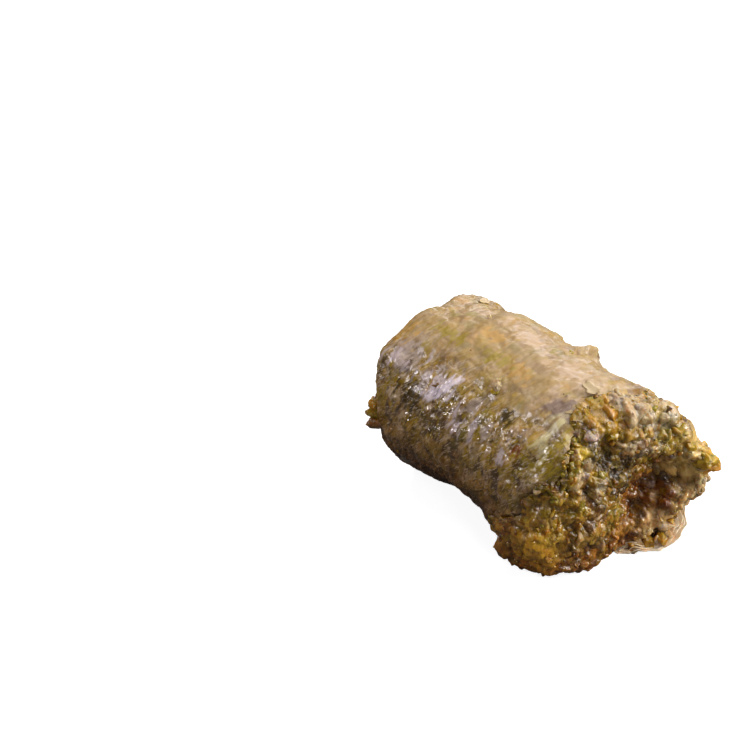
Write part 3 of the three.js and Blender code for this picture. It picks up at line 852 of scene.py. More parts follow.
def pastry_sheet():
    """Outside, torn rim, inside and cut rim of the sheet as rings of points. The outside is the
    sheet's radius with pebbles for the nuts under it, wrinkles drawn out round the roll and the
    steps of flaked-off layers; near its torn edge it settles onto the crumbs, but not at a lip."""
    angle = np.arange(AROUND)[None, :] * 360.0 / AROUND
    edge, cut = torn_edge(angle), cut_edge(angle)
    share = np.linspace(0, 1, ALONG)[:, None]
    x = mix(cut, edge, share)
    radius = sheet_radius(x, angle, edge)
    y, z = sideways(radius, angle), upwards(radius, angle)
    big, big_tone = pebbles(x, y, z, 2.4, 3.0)
    small, small_tone = pebbles(x, y, z, 1.3, 9.0)
    leaning = x - math.tan(SLANT) * z + 0.9 * noise(x / 5, y / 5, z / 5)
    wrinkles = noise(leaning / 0.62, y / 2.5, z / 2.5) + 0.6 * noise(leaning / 0.35, y / 1.2, z / 1.2)
    grains = noise(x / 0.42, y / 0.42, z / 0.42)
    layers = 0.0
    for number, size in enumerate((3.2, 2.2)):
        stretched = noise(x / size + 5 * number, y / (1.6 * size), z / (1.6 * size)) + 0.15 * grains
        layers = layers + 0.14 * clamp01((stretched - 0.52) / 0.05)
    calm = clamp01((z - 22) / 4)
    relief = (0.36 - 0.14 * calm) * big + 0.14 * small + layers * (1 - 0.5 * calm)
    relief = relief + (0.1 - 0.05 * calm) * (wrinkles - 0.8) + 0.05 * (grains - 0.5)
    relief = np.minimum(relief, 0.75 - 0.35 * clamp01(-y / 4 - 3))
    outer = radius + relief - 0.3 + curl(x, angle)
    lip = clamp01(lip_lift(edge - 0.01, angle, edge) / 0.6) * mix(0.2, 0.7, bell((angle_gap(angle, -6)) / 12))
    hug = ease(clamp01(1 - (edge - x) / HUG_REACH)) * (1 - lip)
    corner = TORN_END["corner"]
    turned = clamp01((x - through_knots(TORN_END["rim"], angle) + corner) / corner)
    drop = corner * (1 - np.sqrt(1 - 0.98 * turned**2))
    tuck = 0.5 * ease(clamp01(1 - (edge - x) / 0.9))
    outer = mix(outer, crumb_radius(x, angle) + 0.15 + 0.5 * relief - drop - tuck, hug)
    from_cut = x - cut
    outer = outer - 0.3 * clamp01(1 - from_cut / 1.2) ** 2
    thickness = mix(0.12, SHEET, clamp01((edge - x) / 3.5)) * mix(0.4, 1.0, clamp01(from_cut / 2.5))
    # The inside needs few rings, and most of them near the torn edge.
    inner_rows = np.unique([*range(0, ALONG, 22), *range(ALONG - 18, ALONG, 3), ALONG - 1])
    inner = (outer - thickness)[inner_rows][::-1]
    inner_x = x[inner_rows][::-1]
    rim = outer[-1:] - thickness[-1:] / 2
    points = np.concatenate(
        [
            placed(x, outer, angle),
            placed(edge + 0.06 + 0 * rim, rim, angle),
            placed(inner_x, inner, angle, 0.1),
            placed(cut - 0.1 + 0 * rim, outer[:1] - 0.16, angle),
        ]
    )
    shell = points[:ALONG]
    tone = np.where(0.6 * big > 0.32 * small, big_tone, small_tone)
    nuts = clamp01(1.6 * np.maximum(big, 0.8 * small) - 0.3)
    nuts = nuts * clamp01(2.2 * noise(x / 4 + 3, y / 4, z / 4) - 0.4)
    mixed = bell((edge - x) / 2.0) * clamp01(2.6 * noise(x / 1.1, y / 1.1, z / 1.1) - 0.4)
    tint, show = marked(x, angle, tint_at(shell, tone), np.maximum(SHOWN * nuts, 0.8 * mixed))
    lifted = lip_lift(x, angle, edge) + 0.35 * curl(x, angle)
    lifted = lifted * (0.5 + 0.9 * noise(x / 1.5, y / 1.5, z / 1.5))
    pale = clamp01(0.5 * lifted) * (1 - bell(angle_gap(angle, 44) / 22))
    spare = len(points) - ALONG
    show = np.concatenate([show, np.zeros((spare, AROUND))])
    pale = np.concatenate([pale, np.full((spare, AROUND), 0.3)])
    tint = np.concatenate([tint, np.broadcast_to(tint[-1:], (spare, AROUND, 3))])
    faces = ring_faces(len(points), AROUND, True)
    attributes = [("show", show.ravel()), ("pale", pale.ravel()), ("tint", tint.reshape(-1, 3))]
    piece = make_mesh("pastry_wrap", points.reshape(-1, 3), [faces], attributes)
    piece.data.materials.append(PASTRY)
    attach(piece, "root")
    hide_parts("pastry_sheet")
    return shell


# ---------------------------------------------------------------- the filling


FILLING_AROUND = 360
CUT_FACE_ROWS, CUT_CORNER_ROWS = 44, 8
CUT_ROWS = CUT_FACE_ROWS + CUT_CORNER_ROWS
TORN_CORNER_ROWS, TORN_FACE_ROWS = 18, 80


def filling_rings(around):
    """x and radius of the filling's rings, from the middle of the cut face, over the side, to the
    middle of the torn face, and the number of the first ring that is bare."""
    angle = np.arange(around)[None, :] * 360.0 / around

    def rows(count, low, high, end=True):
        return np.linspace(low, high, count, endpoint=end)[:, None]

    side_from = through_knots(CUT_END["rim"], angle) + CUT_END["corner"]
    side_to = through_knots(TORN_END["rim"], angle) - TORN_END["corner"]
    bare_from = np.minimum(torn_edge(angle) - BARE_STEP, side_to - 1)
    parts = [
        face_point(CUT_END, rows(CUT_FACE_ROWS, 0.02, 1), angle),
        corner_point(CUT_END, rows(CUT_CORNER_ROWS, 1, 0.1), angle),
    ]
    x = mix(side_from, bare_from, rows(14, 0, 1))
    parts.append((x, filling_radius(x, angle)))
    first_bare = sum(len(part[0]) for part in parts)
    x = mix(bare_from, side_to, rows(64, 0.01, 1))
    parts.append((x, filling_radius(x, angle)))
    parts.append(corner_point(TORN_END, rows(TORN_CORNER_ROWS, 0.05, 0.95), angle))
    parts.append(face_point(TORN_END, rows(TORN_FACE_ROWS, 1, 0.012), angle))
    x = np.concatenate([np.broadcast_to(part[0], part[1].shape) for part in parts])
    radius = np.concatenate([part[1] for part in parts])
    return angle, x, radius, first_bare


def crumb_relief(p):
    """Crumbs of three sizes on the filling's skin: the height outwards, in mm, how low the place
    lies between them, which is used for painted shade, and the tone of the crumb that tops it."""
    x, y, z = p[..., 0], p[..., 1], p[..., 2]
    big, big_tone = pebbles(x, y, z, 3.4, 1.0, 0.6, 0.15)
    middle, middle_tone = pebbles(x, y, z, 1.9, 4.0, 0.6, 0.2)
    small, small_tone = pebbles(x, y, z, 1.0, 7.0, 0.5, 0.25)
    rough = noise(x / 0.6, y / 0.6, z / 0.6) - 0.5
    height = 1.25 * big + 0.65 * middle + 0.25 * small + 0.08 * rough
    tone = np.where(big > 0.35, big_tone, np.where(middle > 0.3, middle_tone, small_tone))
    return height - 0.85, clamp01(1 - height / 0.5), tone


# Patches of the torn end, tint by tint: the nuts' own colours, painted light in the lightened cream
# and amber, painted shade in the shade tint and in the maroon of the cavity, and a painted highlight
# in the film. Each place is (y, z, reach, strength).
ZONES = {
    OLIVE: [(-12, 14, 3, 0.5), (9, 19, 3, 0.5)],
    STRAW: [(-14, 7, 4.5, 0.85), (-7, 22, 1, 0.8), (-9, 18, 1, 0.8)],
    BROWN: [(-7, 4, 4, 0.6), (-9, 10, 2, 0.5)],
    TAN_AND_SHEEN: [(5, 24, 4, 0.5)],
    OCHRE: [(1, 5, 2.5, 0.6), (0, 24, 2, 0.5), (-3, 26, 2, 0.6), (-5, 3, 1, 0.8)],
    RUST: [(7, 9, 3.5, 0.85)],
    CREAM_AND_PAINTED_LIGHT: [(6, 4, 3, 0.85), (11, 8, 2.5, 0.95)],
    AMBER_AND_PAINTED_LIGHT: [(12, 17, 3, 0.8), (10, 13, 2.5, 0.8), (13, 14, 3.5, 0.8)],
    SHADE: [(-1, 16, 4.5, 0.95), (-4, 22, 1.8, 0.75), (-13, 19, 1, 0.7), (-8, 4, 1.2, 0.7)],
    MAROON_AND_PAINTED_SHADE: [(4, 7, 1.5, 0.85), (9, 11, 1.2, 0.9), (-10, 20, 0.5, 0.9), (-5, 25, 1, 0.8)],
    NUT_SKIN: [(6, 11, 1.2, 0.6)],
    PALE_NUT: [(2, 25, 1.2, 0.7), (5, 23, 1.5, 0.7), (8, 22, 1.5, 0.7), (-5, 15, 1, 0.7)],
    PAINTED_SHEEN: [(-5, 23.5, 1, 0.7)],
}


def zoned(p, tint, amount=1.0):
    """The patches laid over a tint on the torn end's face, which stands out further at the back, some of
    them painted light and some painted shade: a bell for each, broken by noise."""
    x, y, z = p[..., 0], p[..., 1], p[..., 2]
    broken = noise(x / 1.4, y / 1.4, z / 1.4) - 0.5
    face = clamp01((x - 11 - 0.5 * np.clip(y, 0, 14)) / 2.5)
    for at_y, at_z, reach, strength, colour in widest_first(ZONES, lambda zone: zone[2]):
        near = bell(np.hypot(y - at_y, z - at_z) / reach) * face
        share = strength * clamp01((near + 0.8 * broken * (near > 0.05) - 0.2) / 0.4)
        tint = mix(tint, np.array(colour), amount * share[..., None])
    return tint


def nut_filling():
    """The filling's fine skin, its crumbs risen along the normals, closed by a fan at each end."""
    around = FILLING_AROUND
    angle, x, radius, first_bare = filling_rings(around)
    points = placed(x, radius, angle)
    rings = np.arange(len(points))[:, None]
    bare = ((rings >= first_bare) | (rings < CUT_ROWS)).astype(float)
    normals = ring_normals(points)
    relief, crevice_shade, tone = crumb_relief(points)
    calm = 0.45 * bell((points[..., 1] - 13) / 4) * (points[..., 0] > 8)
    points = points + normals * (relief * bare * (1 - calm))[..., None]
    points[..., 2] = np.maximum(points[..., 2], 0.0)
    # Painted shade, carried to the material as an attribute: darker in the creases between crumbs and in the
    # hollow of the torn end, less so at the tip.
    hollow = bell(np.hypot(points[..., 1] - 7.5, points[..., 2] - 11) / 3)
    tip = bell(np.hypot(points[..., 1] - 13, points[..., 2] - 15) / 5)
    crevice_shade = clamp01(0.75 * crevice_shade * (1 - 0.8 * tip) + 0.4 * hollow * (points[..., 0] > 8))
    tint = zoned(points, tint_at(points, tone))
    middles = np.stack([points[0].mean(axis=0), points[-1].mean(axis=0)])
    step = np.arange(around)
    after = (step + 1) % around
    count = len(points) * around
    last = count - around
    first_cap = np.stack([np.full(around, count), after, step], axis=1)
    last_cap = np.stack([np.full(around, count + 1), last + step, last + after], axis=1)
    faces = [ring_faces(len(points), around, False), first_cap, last_cap]
    flat = np.concatenate([points.reshape(-1, 3), middles])
    crevice_shade = np.append(crevice_shade.ravel(), [0.2, 0.6])
    tint = np.concatenate([tint.reshape(-1, 3), tint[0, :1], tint[-1, :1]])
    piece = make_mesh("nut_filling", flat, faces, [("crevice_shade", crevice_shade), ("tint", tint)])
    piece.data.materials.append(nut_material("nut_paste", srgb(84, 54, 8), srgb(190, 156, 80), 0.6, 0.5))
    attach(piece, "root")
    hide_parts("pistachio_filling")
    return points, normals, first_bare


# ---------------------------------------------------------------- crumbs

# Clusters of larger crumbs on the torn end: (kind, share of its lighter tint, y, z, how far they
# lie apart, how many, size).
CLUSTERS = [
    ("olive_crumbs", 1.2, 12.5, 16.0, 1.2, 4, 0.9),  # the rim at the tip and below it
    ("pale_crumbs", 0.6, 13.0, 11.0, 1.0, 4, 0.9),
    ("pale_crumbs", 0.2, 12.0, 8.0, 1.2, 5, 0.9),
    ("olive_crumbs", 1.4, 11.0, 6.5, 1.2, 3, 0.8),
    ("pale_crumbs", 0.5, 2.0, 25.0, 0.0, 1, 1.7),  # three chunks at the top
    ("pale_crumbs", 0.2, 4.5, 23.5, 0.0, 1, 1.6),
    ("pale_crumbs", 0.6, 8.0, 22.0, 0.0, 1, 1.5),
    ("green_crumbs", 1.0, 6.5, 24.0, 0.0, 1, 0.7),
    ("nut_skins", 0.0, 8.0, 23.0, 1.0, 2, 0.6),
    ("olive_crumbs", 0.8, 10.0, 20.0, 1.0, 3, 0.8),
    ("pale_crumbs", 0.8, 10.0, 17.0, 1.2, 4, 0.5),
    ("nut_skins", 0.6, -5.0, 24.0, 0.7, 5, 0.55),  # in the gap under the fold
    ("green_crumbs", 0.9, -4.0, 17.0, 0.0, 1, 0.9),
    ("pale_crumbs", 0.2, -5.0, 15.0, 0.0, 1, 0.8),
    ("amber_crumbs", 0.9, -9.0, 18.0, 0.0, 1, 0.8),
    ("green_crumbs", 0.8, -12.5, 16.5, 0.6, 2, 0.8),
    ("olive_crumbs", 0.9, -10.5, 16.0, 0.0, 1, 0.8),
    ("nut_skins", 0.1, 7.0, 10.0, 0.0, 1, 0.9),
    ("amber_crumbs", 0.9, -2.5, 4.5, 2.0, 3, 1.0),
    ("pale_crumbs", 0.0, -10.0, 7.0, 3.0, 4, 0.8),
]

# Larger crumbs on the sheet: (kind, share of its lighter tint, x, angle, size).
SHEET_CRUMBS = [
    ("pale_crumbs", 0.7, -0.5, 30, 1.2),
    ("green_crumbs", 1.4, 0.0, 34, 0.8),
    ("pale_crumbs", 1.0, -12.5, -8, 0.5),
    ("olive_crumbs", 0.9, -21.5, 84, 1.3),
    ("green_crumbs", 1.2, -21.5, 90, 1.2),
    ("brown_crumbs", 0.9, -21.0, 97, 1.3),
]

# The crumbs at the tip, round the place of the solids' outermost crumb, outermost last.
TIP = {"x": 22.7, "angle": -86, "radius": 13.4, "apart": 0.8}
# Shares above 1 make these crumbs lighter than their kind's lighter tint: painted light where they lie in
# shade.
TIP_CRUMBS = [
    ("amber_crumbs", 1.5, 1.5),
    ("olive_crumbs", 1.2, 1.5),
    ("amber_crumbs", 1.8, 1.3),
    ("olive_crumbs", 1.6, 1.3),
    ("pale_crumbs", 0.5, 1.1),
    ("amber_crumbs", 1.2, 1.1),
    ("olive_crumbs", 1.8, 1.2),
]

# Crumbs that lie on the layers under the torn end, in a row along the foot of the filling.
FLAP_CRUMBS = {"count": 16, "from": -166, "to": -118, "smallest": 0.8, "largest": 1.3, "deepest": 2.0}

CRUMB_SEED = 41
# The strewn crumbs from large to small: (how many on the ends, smallest, largest, levels of the
# icosphere, share of the size that is sunk, how many drawn on the sheet, and under its torn edge).
STREWN = [
    (150, 0.8, 1.5, 2, 0.6, 3, 0),
    (420, 0.38, 0.85, 1, 0.5, 12, 150),
    (400, 0.16, 0.36, 0, 0.4, 24, 120),
]


def larger_crumbs(points, normals, draw):
    """Centres, sizes, kinds and shares of the lighter tint of the crumbs with a place of their own.
    Each of a cluster is sunk by half into the torn end's skin, where that lies nearest to a normal
    draw round the cluster's middle. On the sheet they sit at its radius. At the tip each stands
    further out than the last, a golden angle on round the tip. On the layers under the torn end
    they lie just inside them, back from their edge."""
    rings = slice(-TORN_FACE_ROWS - TORN_CORNER_ROWS, None)
    skin = points[rings].reshape(-1, 3)
    outward = normals[rings].reshape(-1, 3)
    gathered = [[], [], [], []]

    def keep(*crumbs):
        """Adds crumbs: their centres, sizes, kinds and shares."""
        for values, more in zip(gathered, crumbs):
            values.append(more)

    for kind, share, y, z, apart, count, size in CLUSTERS:
        at = draw.normal((y, z), apart, (count, 2))
        nearest = ((skin[None, :, 1:] - at[:, None]) ** 2).sum(axis=2).argmin(axis=1)
        each = size * draw.uniform(0.85, 1.15, count)
        sunk = skin[nearest] - outward[nearest] * (0.5 * each)[:, None]
        keep(sunk, each, [kind] * count, [share] * count)
    for kind, share, x, angle, size in SHEET_CRUMBS:
        radius = sheet_radius(np.array([x]), np.array([angle]), torn_edge(np.array([angle])))
        keep(placed(np.array([x]), radius - 0.5 * size, np.array([angle])), [size], [kind], [share])
    for number, (kind, share, size) in enumerate(TIP_CRUMBS):
        out = mix(-1.0, 0.6, number / (len(TIP_CRUMBS) - 1))
        middle = placed(np.array([TIP["x"] + out]), TIP["radius"] + 0.3 * out, np.array([TIP["angle"]]))
        turn = math.radians(GOLDEN_ANGLE * number)
        aside = TIP["apart"] * np.array([[0.0, math.cos(turn), math.sin(turn)]])
        keep(middle + aside * (1 - 0.7 * number / len(TIP_CRUMBS)), [size], [kind], [share])
    count = FLAP_CRUMBS["count"]
    angle = np.linspace(FLAP_CRUMBS["from"], FLAP_CRUMBS["to"], count) + draw.uniform(-1.5, 1.5, count)
    each = draw.uniform(FLAP_CRUMBS["smallest"], FLAP_CRUMBS["largest"], count)
    edge = through_knots(FLAP_EDGE, angle)
    x = edge - draw.uniform(0.2, FLAP_CRUMBS["deepest"], count)
    under = placed(x, sheet_radius(x, angle, edge) - 1.0 - 0.7 * each, angle)
    # Shares above 1 make the flap crumbs lighter than their kind's lighter tint: painted light where they lie
    # in shade.
    keep(under, each, ["pale_crumbs", "olive_crumbs"] * (count // 2), [1.4, 1.6] * (count // 2))
    return [np.concatenate(values) for values in gathered]


def scattered(points, normals, first_bare, count, draw, torn_share=0.82):
    """Random points of the skin's bare parts, as many on each patch as its area asks for."""
    around = points.shape[1]
    step = np.roll(points, -1, axis=1) - points
    weight = np.linalg.norm(np.cross(step[:-1], np.diff(points, axis=0)), axis=-1)
    weight[CUT_ROWS:first_bare] = 0
    torn, cut = weight[first_bare:].sum(), weight[:CUT_ROWS].sum()
    weight[first_bare:] *= torn_share / torn
    weight[:CUT_ROWS] *= (1 - torn_share) / cut
    chosen = draw.choice(weight.size, size=count, p=(weight / weight.sum()).ravel())
    ring, column = chosen // around, chosen % around
    return points[ring, column], normals[ring, column]


def on_the_wrap(shell, count, draw):
    """Random points of the sheet's outside, above its foot, and the directions outwards."""
    ring = draw.integers(4, len(shell), count)
    column = draw.integers(0, shell.shape[1], count)
    places = shell[ring, column]
    places = places[places[:, 2] > 3]
    return places, away_from_axis(places)


def under_the_edge(shell, count, draw):
    """Places for crumbs held under the sheet's torn edge, a little in from its outside, and the
    directions outwards."""
    column = draw.integers(0, shell.shape[1], count)
    places = shell[-1 - draw.integers(0, 4, count), column]
    places = places[(places[:, 2] > 9) | (places[:, 1] < 0)]
    outward = away_from_axis(places)
    places = places - outward * draw.uniform(0.35, 0.8, (len(places), 1))
    places[:, 0] += draw.uniform(-0.1, 0.9, len(places))
    return places, outward


def nut_crumbs(skin, shell):
    """Crumbs of three sizes over the filling's ends, under the sheet's torn edge and a few on the
    sheet, and those with a place of their own: one piece a kind."""
    draw = np.random.default_rng(CRUMB_SEED)
    gathered = {name: [] for name in KINDS}
    centres, sizes, kinds, shares = larger_crumbs(*skin[:2], draw)
    for number, name in enumerate(KINDS):
        mine = kinds == name
        made = stones(centres[mine], sizes[mine], 3, draw, 0.5)
        gathered[name].append((*made, mix(*TINTS[number], shares[mine, None])))
    for count, smallest, largest, levels, sunk, wrapped, held in STREWN:
        sets = [scattered(*skin, count, draw), on_the_wrap(shell, wrapped, draw)]
        sets.append(under_the_edge(shell, held, draw))
        places, outward = [np.concatenate(part) for part in zip(*sets)]
        shrink = np.repeat([1.0, 0.7, 1.0], [len(part[0]) for part in sets])
        sizes = mix(smallest, largest, draw.random(len(places)) ** 1.8) * shrink
        centres = places - outward * (sizes * sunk)[:, None]
        kinds = kind_at(places, draw.random(len(places)))
        for number, name in enumerate(KINDS):
            mine = kinds == number
            made = stones(centres[mine], sizes[mine], levels, draw)
            tint = mix(*TINTS[number], draw.random((mine.sum(), 1)))
            gathered[name].append((*made, zoned(centres[mine], tint, 0.85)))
    for name, (_, _, dark, light) in KINDS.items():
        points, faces = joined([made[:2] for made in gathered[name]])
        tints = [np.repeat(np.maximum(0.002, tint), each, axis=0) for _, _, each, tint in gathered[name]]
        attributes = [("tint", np.concatenate(tints)), ("crevice_shade", np.zeros(len(points)))]
        piece = make_mesh(name, points, faces, attributes)
        piece.data.materials.append(nut_material(name + "_flesh", dark, light, 0.5, 0.6))
        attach(piece, "root")


# ---------------------------------------------------------------- thin layers of pastry

LAYER_THICKNESS, FLAKE_THICKNESS = 0.1, 0.12
LAYER_AROUND, LAYER_ALONG = 110, 26

# The layers that stick out: (first and last angle, how far past the edge, depth under the sheet).
FLAP_LAYERS = [
    (-178, -118, 0.5, 0.1),
    (-176, -120, 0.4, 0.35),
    (-175, -121, 0.1, 0.6),
    (-172, -123, -0.2, 0.85),
    (-170, -126, -0.5, 1.1),
]

# Single flakes on the sheet: (x, angle, length, width, lift, curl).
FLAKES = [
    (11.6, 0, 3.4, 2.0, 0.1, 0.2),
    (-19.5, -30, 2.2, 1.4, 0.1, 0.3),
]
SHARDS_AT_EDGE, SHARDS_ON_WRAP = 40, 8
FLAKE_SEED = 5


def thin_layer(grid, thickness):
    """A closed slab of that thickness round a grid of points."""
    normal = np.cross(np.gradient(grid, axis=0), np.gradient(grid, axis=1))
    normal /= np.maximum(np.linalg.norm(normal, axis=-1, keepdims=True), 1e-9)
    top = (grid + normal * thickness / 2).reshape(-1, 3)
    under = (grid - normal * thickness / 2).reshape(-1, 3)
    return np.concatenate([top, under]), slab_faces(*grid.shape[:2])


def flap_layers():
    """Layers that stick out past the cut, low at the back: each follows the sheet's inside at its
    own depth, ends on its own ragged line, waves a little and curls up under the filling."""
    layers = []
    for number, (low, high, reach, depth) in enumerate(FLAP_LAYERS):
        angle = np.linspace(low, high, LAYER_AROUND)[None, :]
        share = np.linspace(0, 1, LAYER_ALONG)[:, None]
        taper = ease(clamp01((angle - low) / 10)) * ease(clamp01((high - angle) / 14))
        edge = through_knots(FLAP_EDGE, angle) + reach - 0.8 * (1 - taper)
        edge = edge + 0.5 * ragged(angle, 21.0 + 7 * number)
        x = mix(edge - 5 * (0.3 + 0.7 * taper), edge, share)
        radius = sheet_radius(x, angle, edge) - depth
        wave = 0.5 * (noise(x / 1.6, angle / 7 + 0 * x, number + 0 * x) - 0.5) * share
        curled = 1.7 * bell((angle + 167) / 8) * share**3
        grid = placed(x, radius + wave - 0.15 * share - curled, angle, 0.12 + 0.14 * number)
        layers.append(thin_layer(grid, LAYER_THICKNESS))
    piece = make_mesh("flap_layers", *joined(layers))
    piece.data.materials.append(LAYERS)
    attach(piece, "root")


def flakes(places, outward, lengths, widths, lifts, curls, draw, columns=9, rows=6):
    """Curled shards of one layer: a grid of u and v from -1 to 1 in the plane across the outward
    direction, v narrowed by a random outline, raised by lift + curl * u squared, and closed as a
    slab. All shards are worked out as one array."""
    count = len(places)
    random = draw.normal(size=(count, 3))
    tangent = np.cross(outward, random)
    tangent /= np.linalg.norm(tangent, axis=1, keepdims=True)
    other = np.cross(outward, tangent)
    u = np.linspace(-1, 1, columns)[None, :, None]
    v = np.linspace(-1, 1, rows)[None, None, :]
    phase = draw.uniform(0, 6.28, (count, 1, 1))
    outline = np.sqrt(np.maximum(0.02, 1 - np.abs(u) ** 3))
    outline = outline * (1 + 0.3 * np.sin(3 * u + phase)) * (1 + 0.15 * np.sin(9 * u + 2 * phase))
    length, width = lengths[:, None, None] / 2, widths[:, None, None] / 2
    wave = 0.15 * np.sin(2.5 * v + phase) * width
    along = u * length * (1 + 0.12 * np.sin(4 * v + phase))
    across = v * width * outline
    height = lifts[:, None, None] + curls[:, None, None] * (0.5 + 0.5 * u) ** 2 + wave
    sides = []
    for side in (0.5, -0.5):
        lay = height + side * FLAKE_THICKNESS
        sides.append(
            places[:, None, None]
            + tangent[:, None, None] * along[..., None]
            + other[:, None, None] * across[..., None]
            + outward[:, None, None] * lay[..., None]
        )
    each = columns * rows
    points = np.stack([part.reshape(count, each, 3) for part in sides], axis=1).reshape(-1, 3)
    points[:, 2] = np.maximum(points[:, 2], 0.05)
    starts = (np.arange(count) * 2 * each)[:, None, None]
    return points, (slab_faces(columns, rows)[None] + starts).reshape(-1, 4)


def edge_flakes(shell):
    """Shards along the sheet's torn edge and a few on its outside, and the larger single flakes."""
    draw = np.random.default_rng(FLAKE_SEED)
    column = draw.integers(0, AROUND, SHARDS_AT_EDGE)
    back = (draw.random(SHARDS_AT_EDGE) ** 2 * 9).astype(int)
    places = shell[len(shell) - 1 - back, column]
    more, _ = on_the_wrap(shell, SHARDS_ON_WRAP, draw)
    special_x = np.array([flake[0] for flake in FLAKES])
    special_angle = np.array([flake[1] for flake in FLAKES])
    edge = torn_edge(special_angle)
    special = placed(special_x, sheet_radius(special_x, special_angle, edge), special_angle)
    places = np.concatenate([places, more, special])
    places = places[places[:, 2] > 1.0]
    outward = away_from_axis(places)
    count, last = len(places), len(FLAKES)
    paleness = draw.uniform(0.0, 0.5, count)
    paleness[-last:] = 0.7
    lengths, widths = draw.uniform(0.7, 2.0, count), draw.uniform(0.4, 1.1, count)
    lifts, curls = draw.uniform(-0.05, 0.12, count), draw.uniform(0, 0.45, count) ** 1.5
    for values, column in ((lengths, 2), (widths, 3), (lifts, 4), (curls, 5)):
        values[-last:] = [flake[column] for flake in FLAKES]
    points, faces = flakes(places, outward, lengths, widths, lifts, curls, draw)
    per_flake = len(points) // count
    attributes = [
        ("pale", np.repeat(paleness, per_flake)),
        ("show", np.zeros(len(points))),
        ("tint", np.zeros((len(points), 3))),
    ]
    piece = make_mesh("pastry_flakes", points, [faces], attributes)
    piece.data.materials.append(PASTRY)
    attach(piece, "root")


# ---------------------------------------------------------------- floor, light and camera

VIEW_AZIMUTH, VIEW_ELEVATION = 47.5, 35.0
DISTANCE = 450.0
PIXELS, PIXELS_PER_MM = 749, 6.65
ROLL_MIDDLE = np.array([-1.3, 0.0, AXIS_HEIGHT])
ROLL_MIDDLE_PIXEL = (530.6, 433.0)

AMBIENT = 0.075
# Each softbox is (name, direction, distance m, size m, power W, colour).
SOFTBOXES = [
    ("key", (0.45, 0.55, 0.75), 1.0, 0.7, 8.4, (1.0, 0.985, 0.96)),
    ("skylight", (-0.3, 0.2, 0.9), 1.0, 0.9, 5.0, (1.0, 0.98, 0.96)),
    ("left_window", (-0.6, -0.66, 0.45), 1.0, 0.11, 3.6, (0.98, 0.94, 1.0)),
    ("back_window", (-0.6, 0.77, 0.3), 1.0, 0.35, 1.8, (0.97, 0.95, 1.0)),
    ("side_window", (0.72, 0.64, 0.22), 1.0, 0.3, 6.5, (1.0, 0.96, 0.94)),
    ("front_window", (0.8, -0.3, 0.5), 1.0, 0.14, 1.4, (1.0, 0.95, 0.97)),
]


def view_axes(azimuth, elevation):
    """Right, up and towards the viewer, for a view from that direction."""
    a, e = math.radians(azimuth), math.radians(elevation)
    right = np.array([math.cos(a), math.sin(a), 0.0])
    up = np.array([-math.sin(a) * math.sin(e), math.cos(a) * math.sin(e), math.cos(e)])
    return right, up, np.cross(right, up)


def add_camera():
    """A camera in the view's direction from the roll's middle, turned a little aside so that the
    middle falls on its own pixel."""
    right, up, back = view_axes(VIEW_AZIMUTH, VIEW_ELEVATION)
    place = ROLL_MIDDLE + DISTANCE * back
    aside = (PIXELS / 2 - ROLL_MIDDLE_PIXEL[0]) / PIXELS_PER_MM
    above = (ROLL_MIDDLE_PIXEL[1] - PIXELS / 2) / PIXELS_PER_MM
    target = ROLL_MIDDLE + aside * right + above * up
    back = place - target
    back = back / np.linalg.norm(back)
    right = right - back * right.dot(back)
    right = right / np.linalg.norm(right)
    up = np.cross(back, right)
    data = bpy.data.cameras.new("camera")
    data.sensor_width = 36.0
    data.lens = 36.0 * DISTANCE / (PIXELS / PIXELS_PER_MM)
    data.clip_end = 20.0
    camera = bpy.data.objects.new("camera", data)
    rotation = np.stack([right, up, back], axis=1)
    camera.matrix_world = Matrix.Translation(Vector(place * 0.001)) @ Matrix(rotation.tolist()).to_4x4()
    bpy.context.scene.collection.objects.link(camera)
    bpy.context.scene.camera = camera


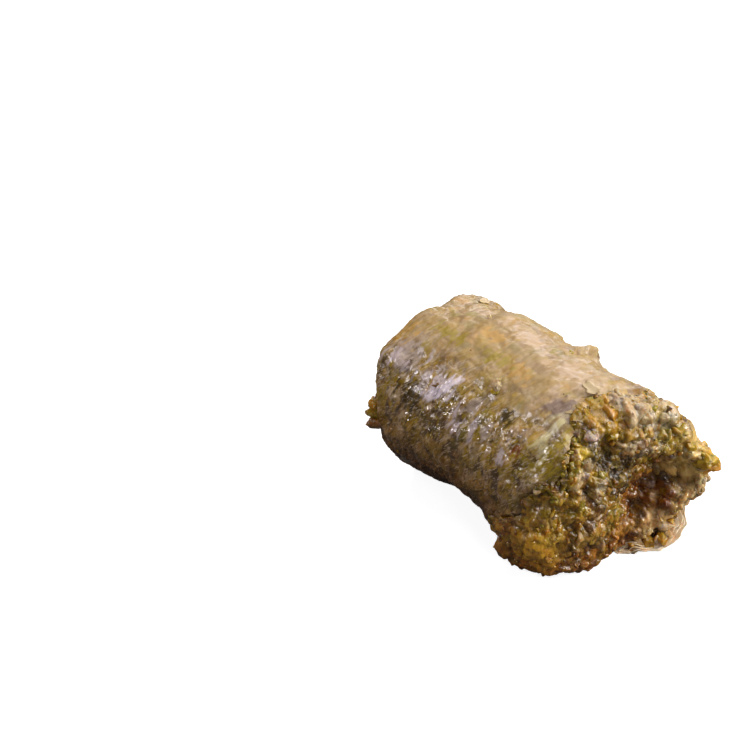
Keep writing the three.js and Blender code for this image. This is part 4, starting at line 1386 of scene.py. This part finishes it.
def add_softbox(name, direction, distance, size, power, colour):
    """A square area light in that direction from the roll, facing it. Distances in metres."""
    data = bpy.data.lights.new(name, "AREA")
    data.size = size
    data.energy = power
    data.color = colour
    lamp = bpy.data.objects.new(name, data)
    direction = Vector(direction).normalized()
    lamp.location = direction * distance
    lamp.rotation_euler = direction.to_track_quat("Z", "Y").to_euler()
    bpy.context.scene.collection.objects.link(lamp)


def add_floor():
    """A plain pale floor. It returns less light to the object than it shows, as a floor in the
    shade of its neighbours would."""
    half = 1500.0
    corners = [(-half, -half, 0), (half, -half, 0), (half, half, 0), (-half, half, 0)]
    floor = make_mesh("floor", corners, [[(0, 1, 2, 3)]], smooth=False)
    material, tree, shader = new_material("pale_floor")
    seen = add(tree, "ShaderNodeLightPath").outputs["Is Camera Ray"]
    colour = colour_mix(tree, seen, (0.13, 0.12, 0.1), (0.5, 0.5, 0.5))
    glow = colour_mix(tree, seen, (0.0, 0.0, 0.0), (0.85, 0.85, 0.85))
    tree.links.new(colour, shader.inputs["Base Color"])
    tree.links.new(glow, shader.inputs["Emission Color"])
    shader.inputs["Emission Strength"].default_value = 1.0
    shader.inputs["Roughness"].default_value = 0.7
    floor.data.materials.append(material)


def add_world():
    """A white studio that shows brighter than it lights."""
    world = bpy.data.worlds.new("studio")
    bpy.context.scene.world = world
    world.use_nodes = True
    tree = world.node_tree
    background = tree.nodes["Background"]
    background.inputs["Color"].default_value = (1.0, 1.0, 1.0, 1.0)
    seen = add(tree, "ShaderNodeLightPath").outputs["Is Camera Ray"]
    tree.links.new(stretch(tree, seen, 0.0, 1.0, AMBIENT, 1.0), background.inputs["Strength"])


add_camera()
add_floor()
add_world()
for softbox in SOFTBOXES:
    add_softbox(*softbox)

PASTRY = pastry_material()
LAYERS = layer_material()
SHELL = pastry_sheet()
SKIN = nut_filling()
nut_crumbs(SKIN, SHELL)
flap_layers()
edge_flakes(SHELL)

scene = bpy.context.scene
scene.view_settings.view_transform = "Standard"
scene.view_settings.look = "None"
scene.view_settings.exposure = 0.0
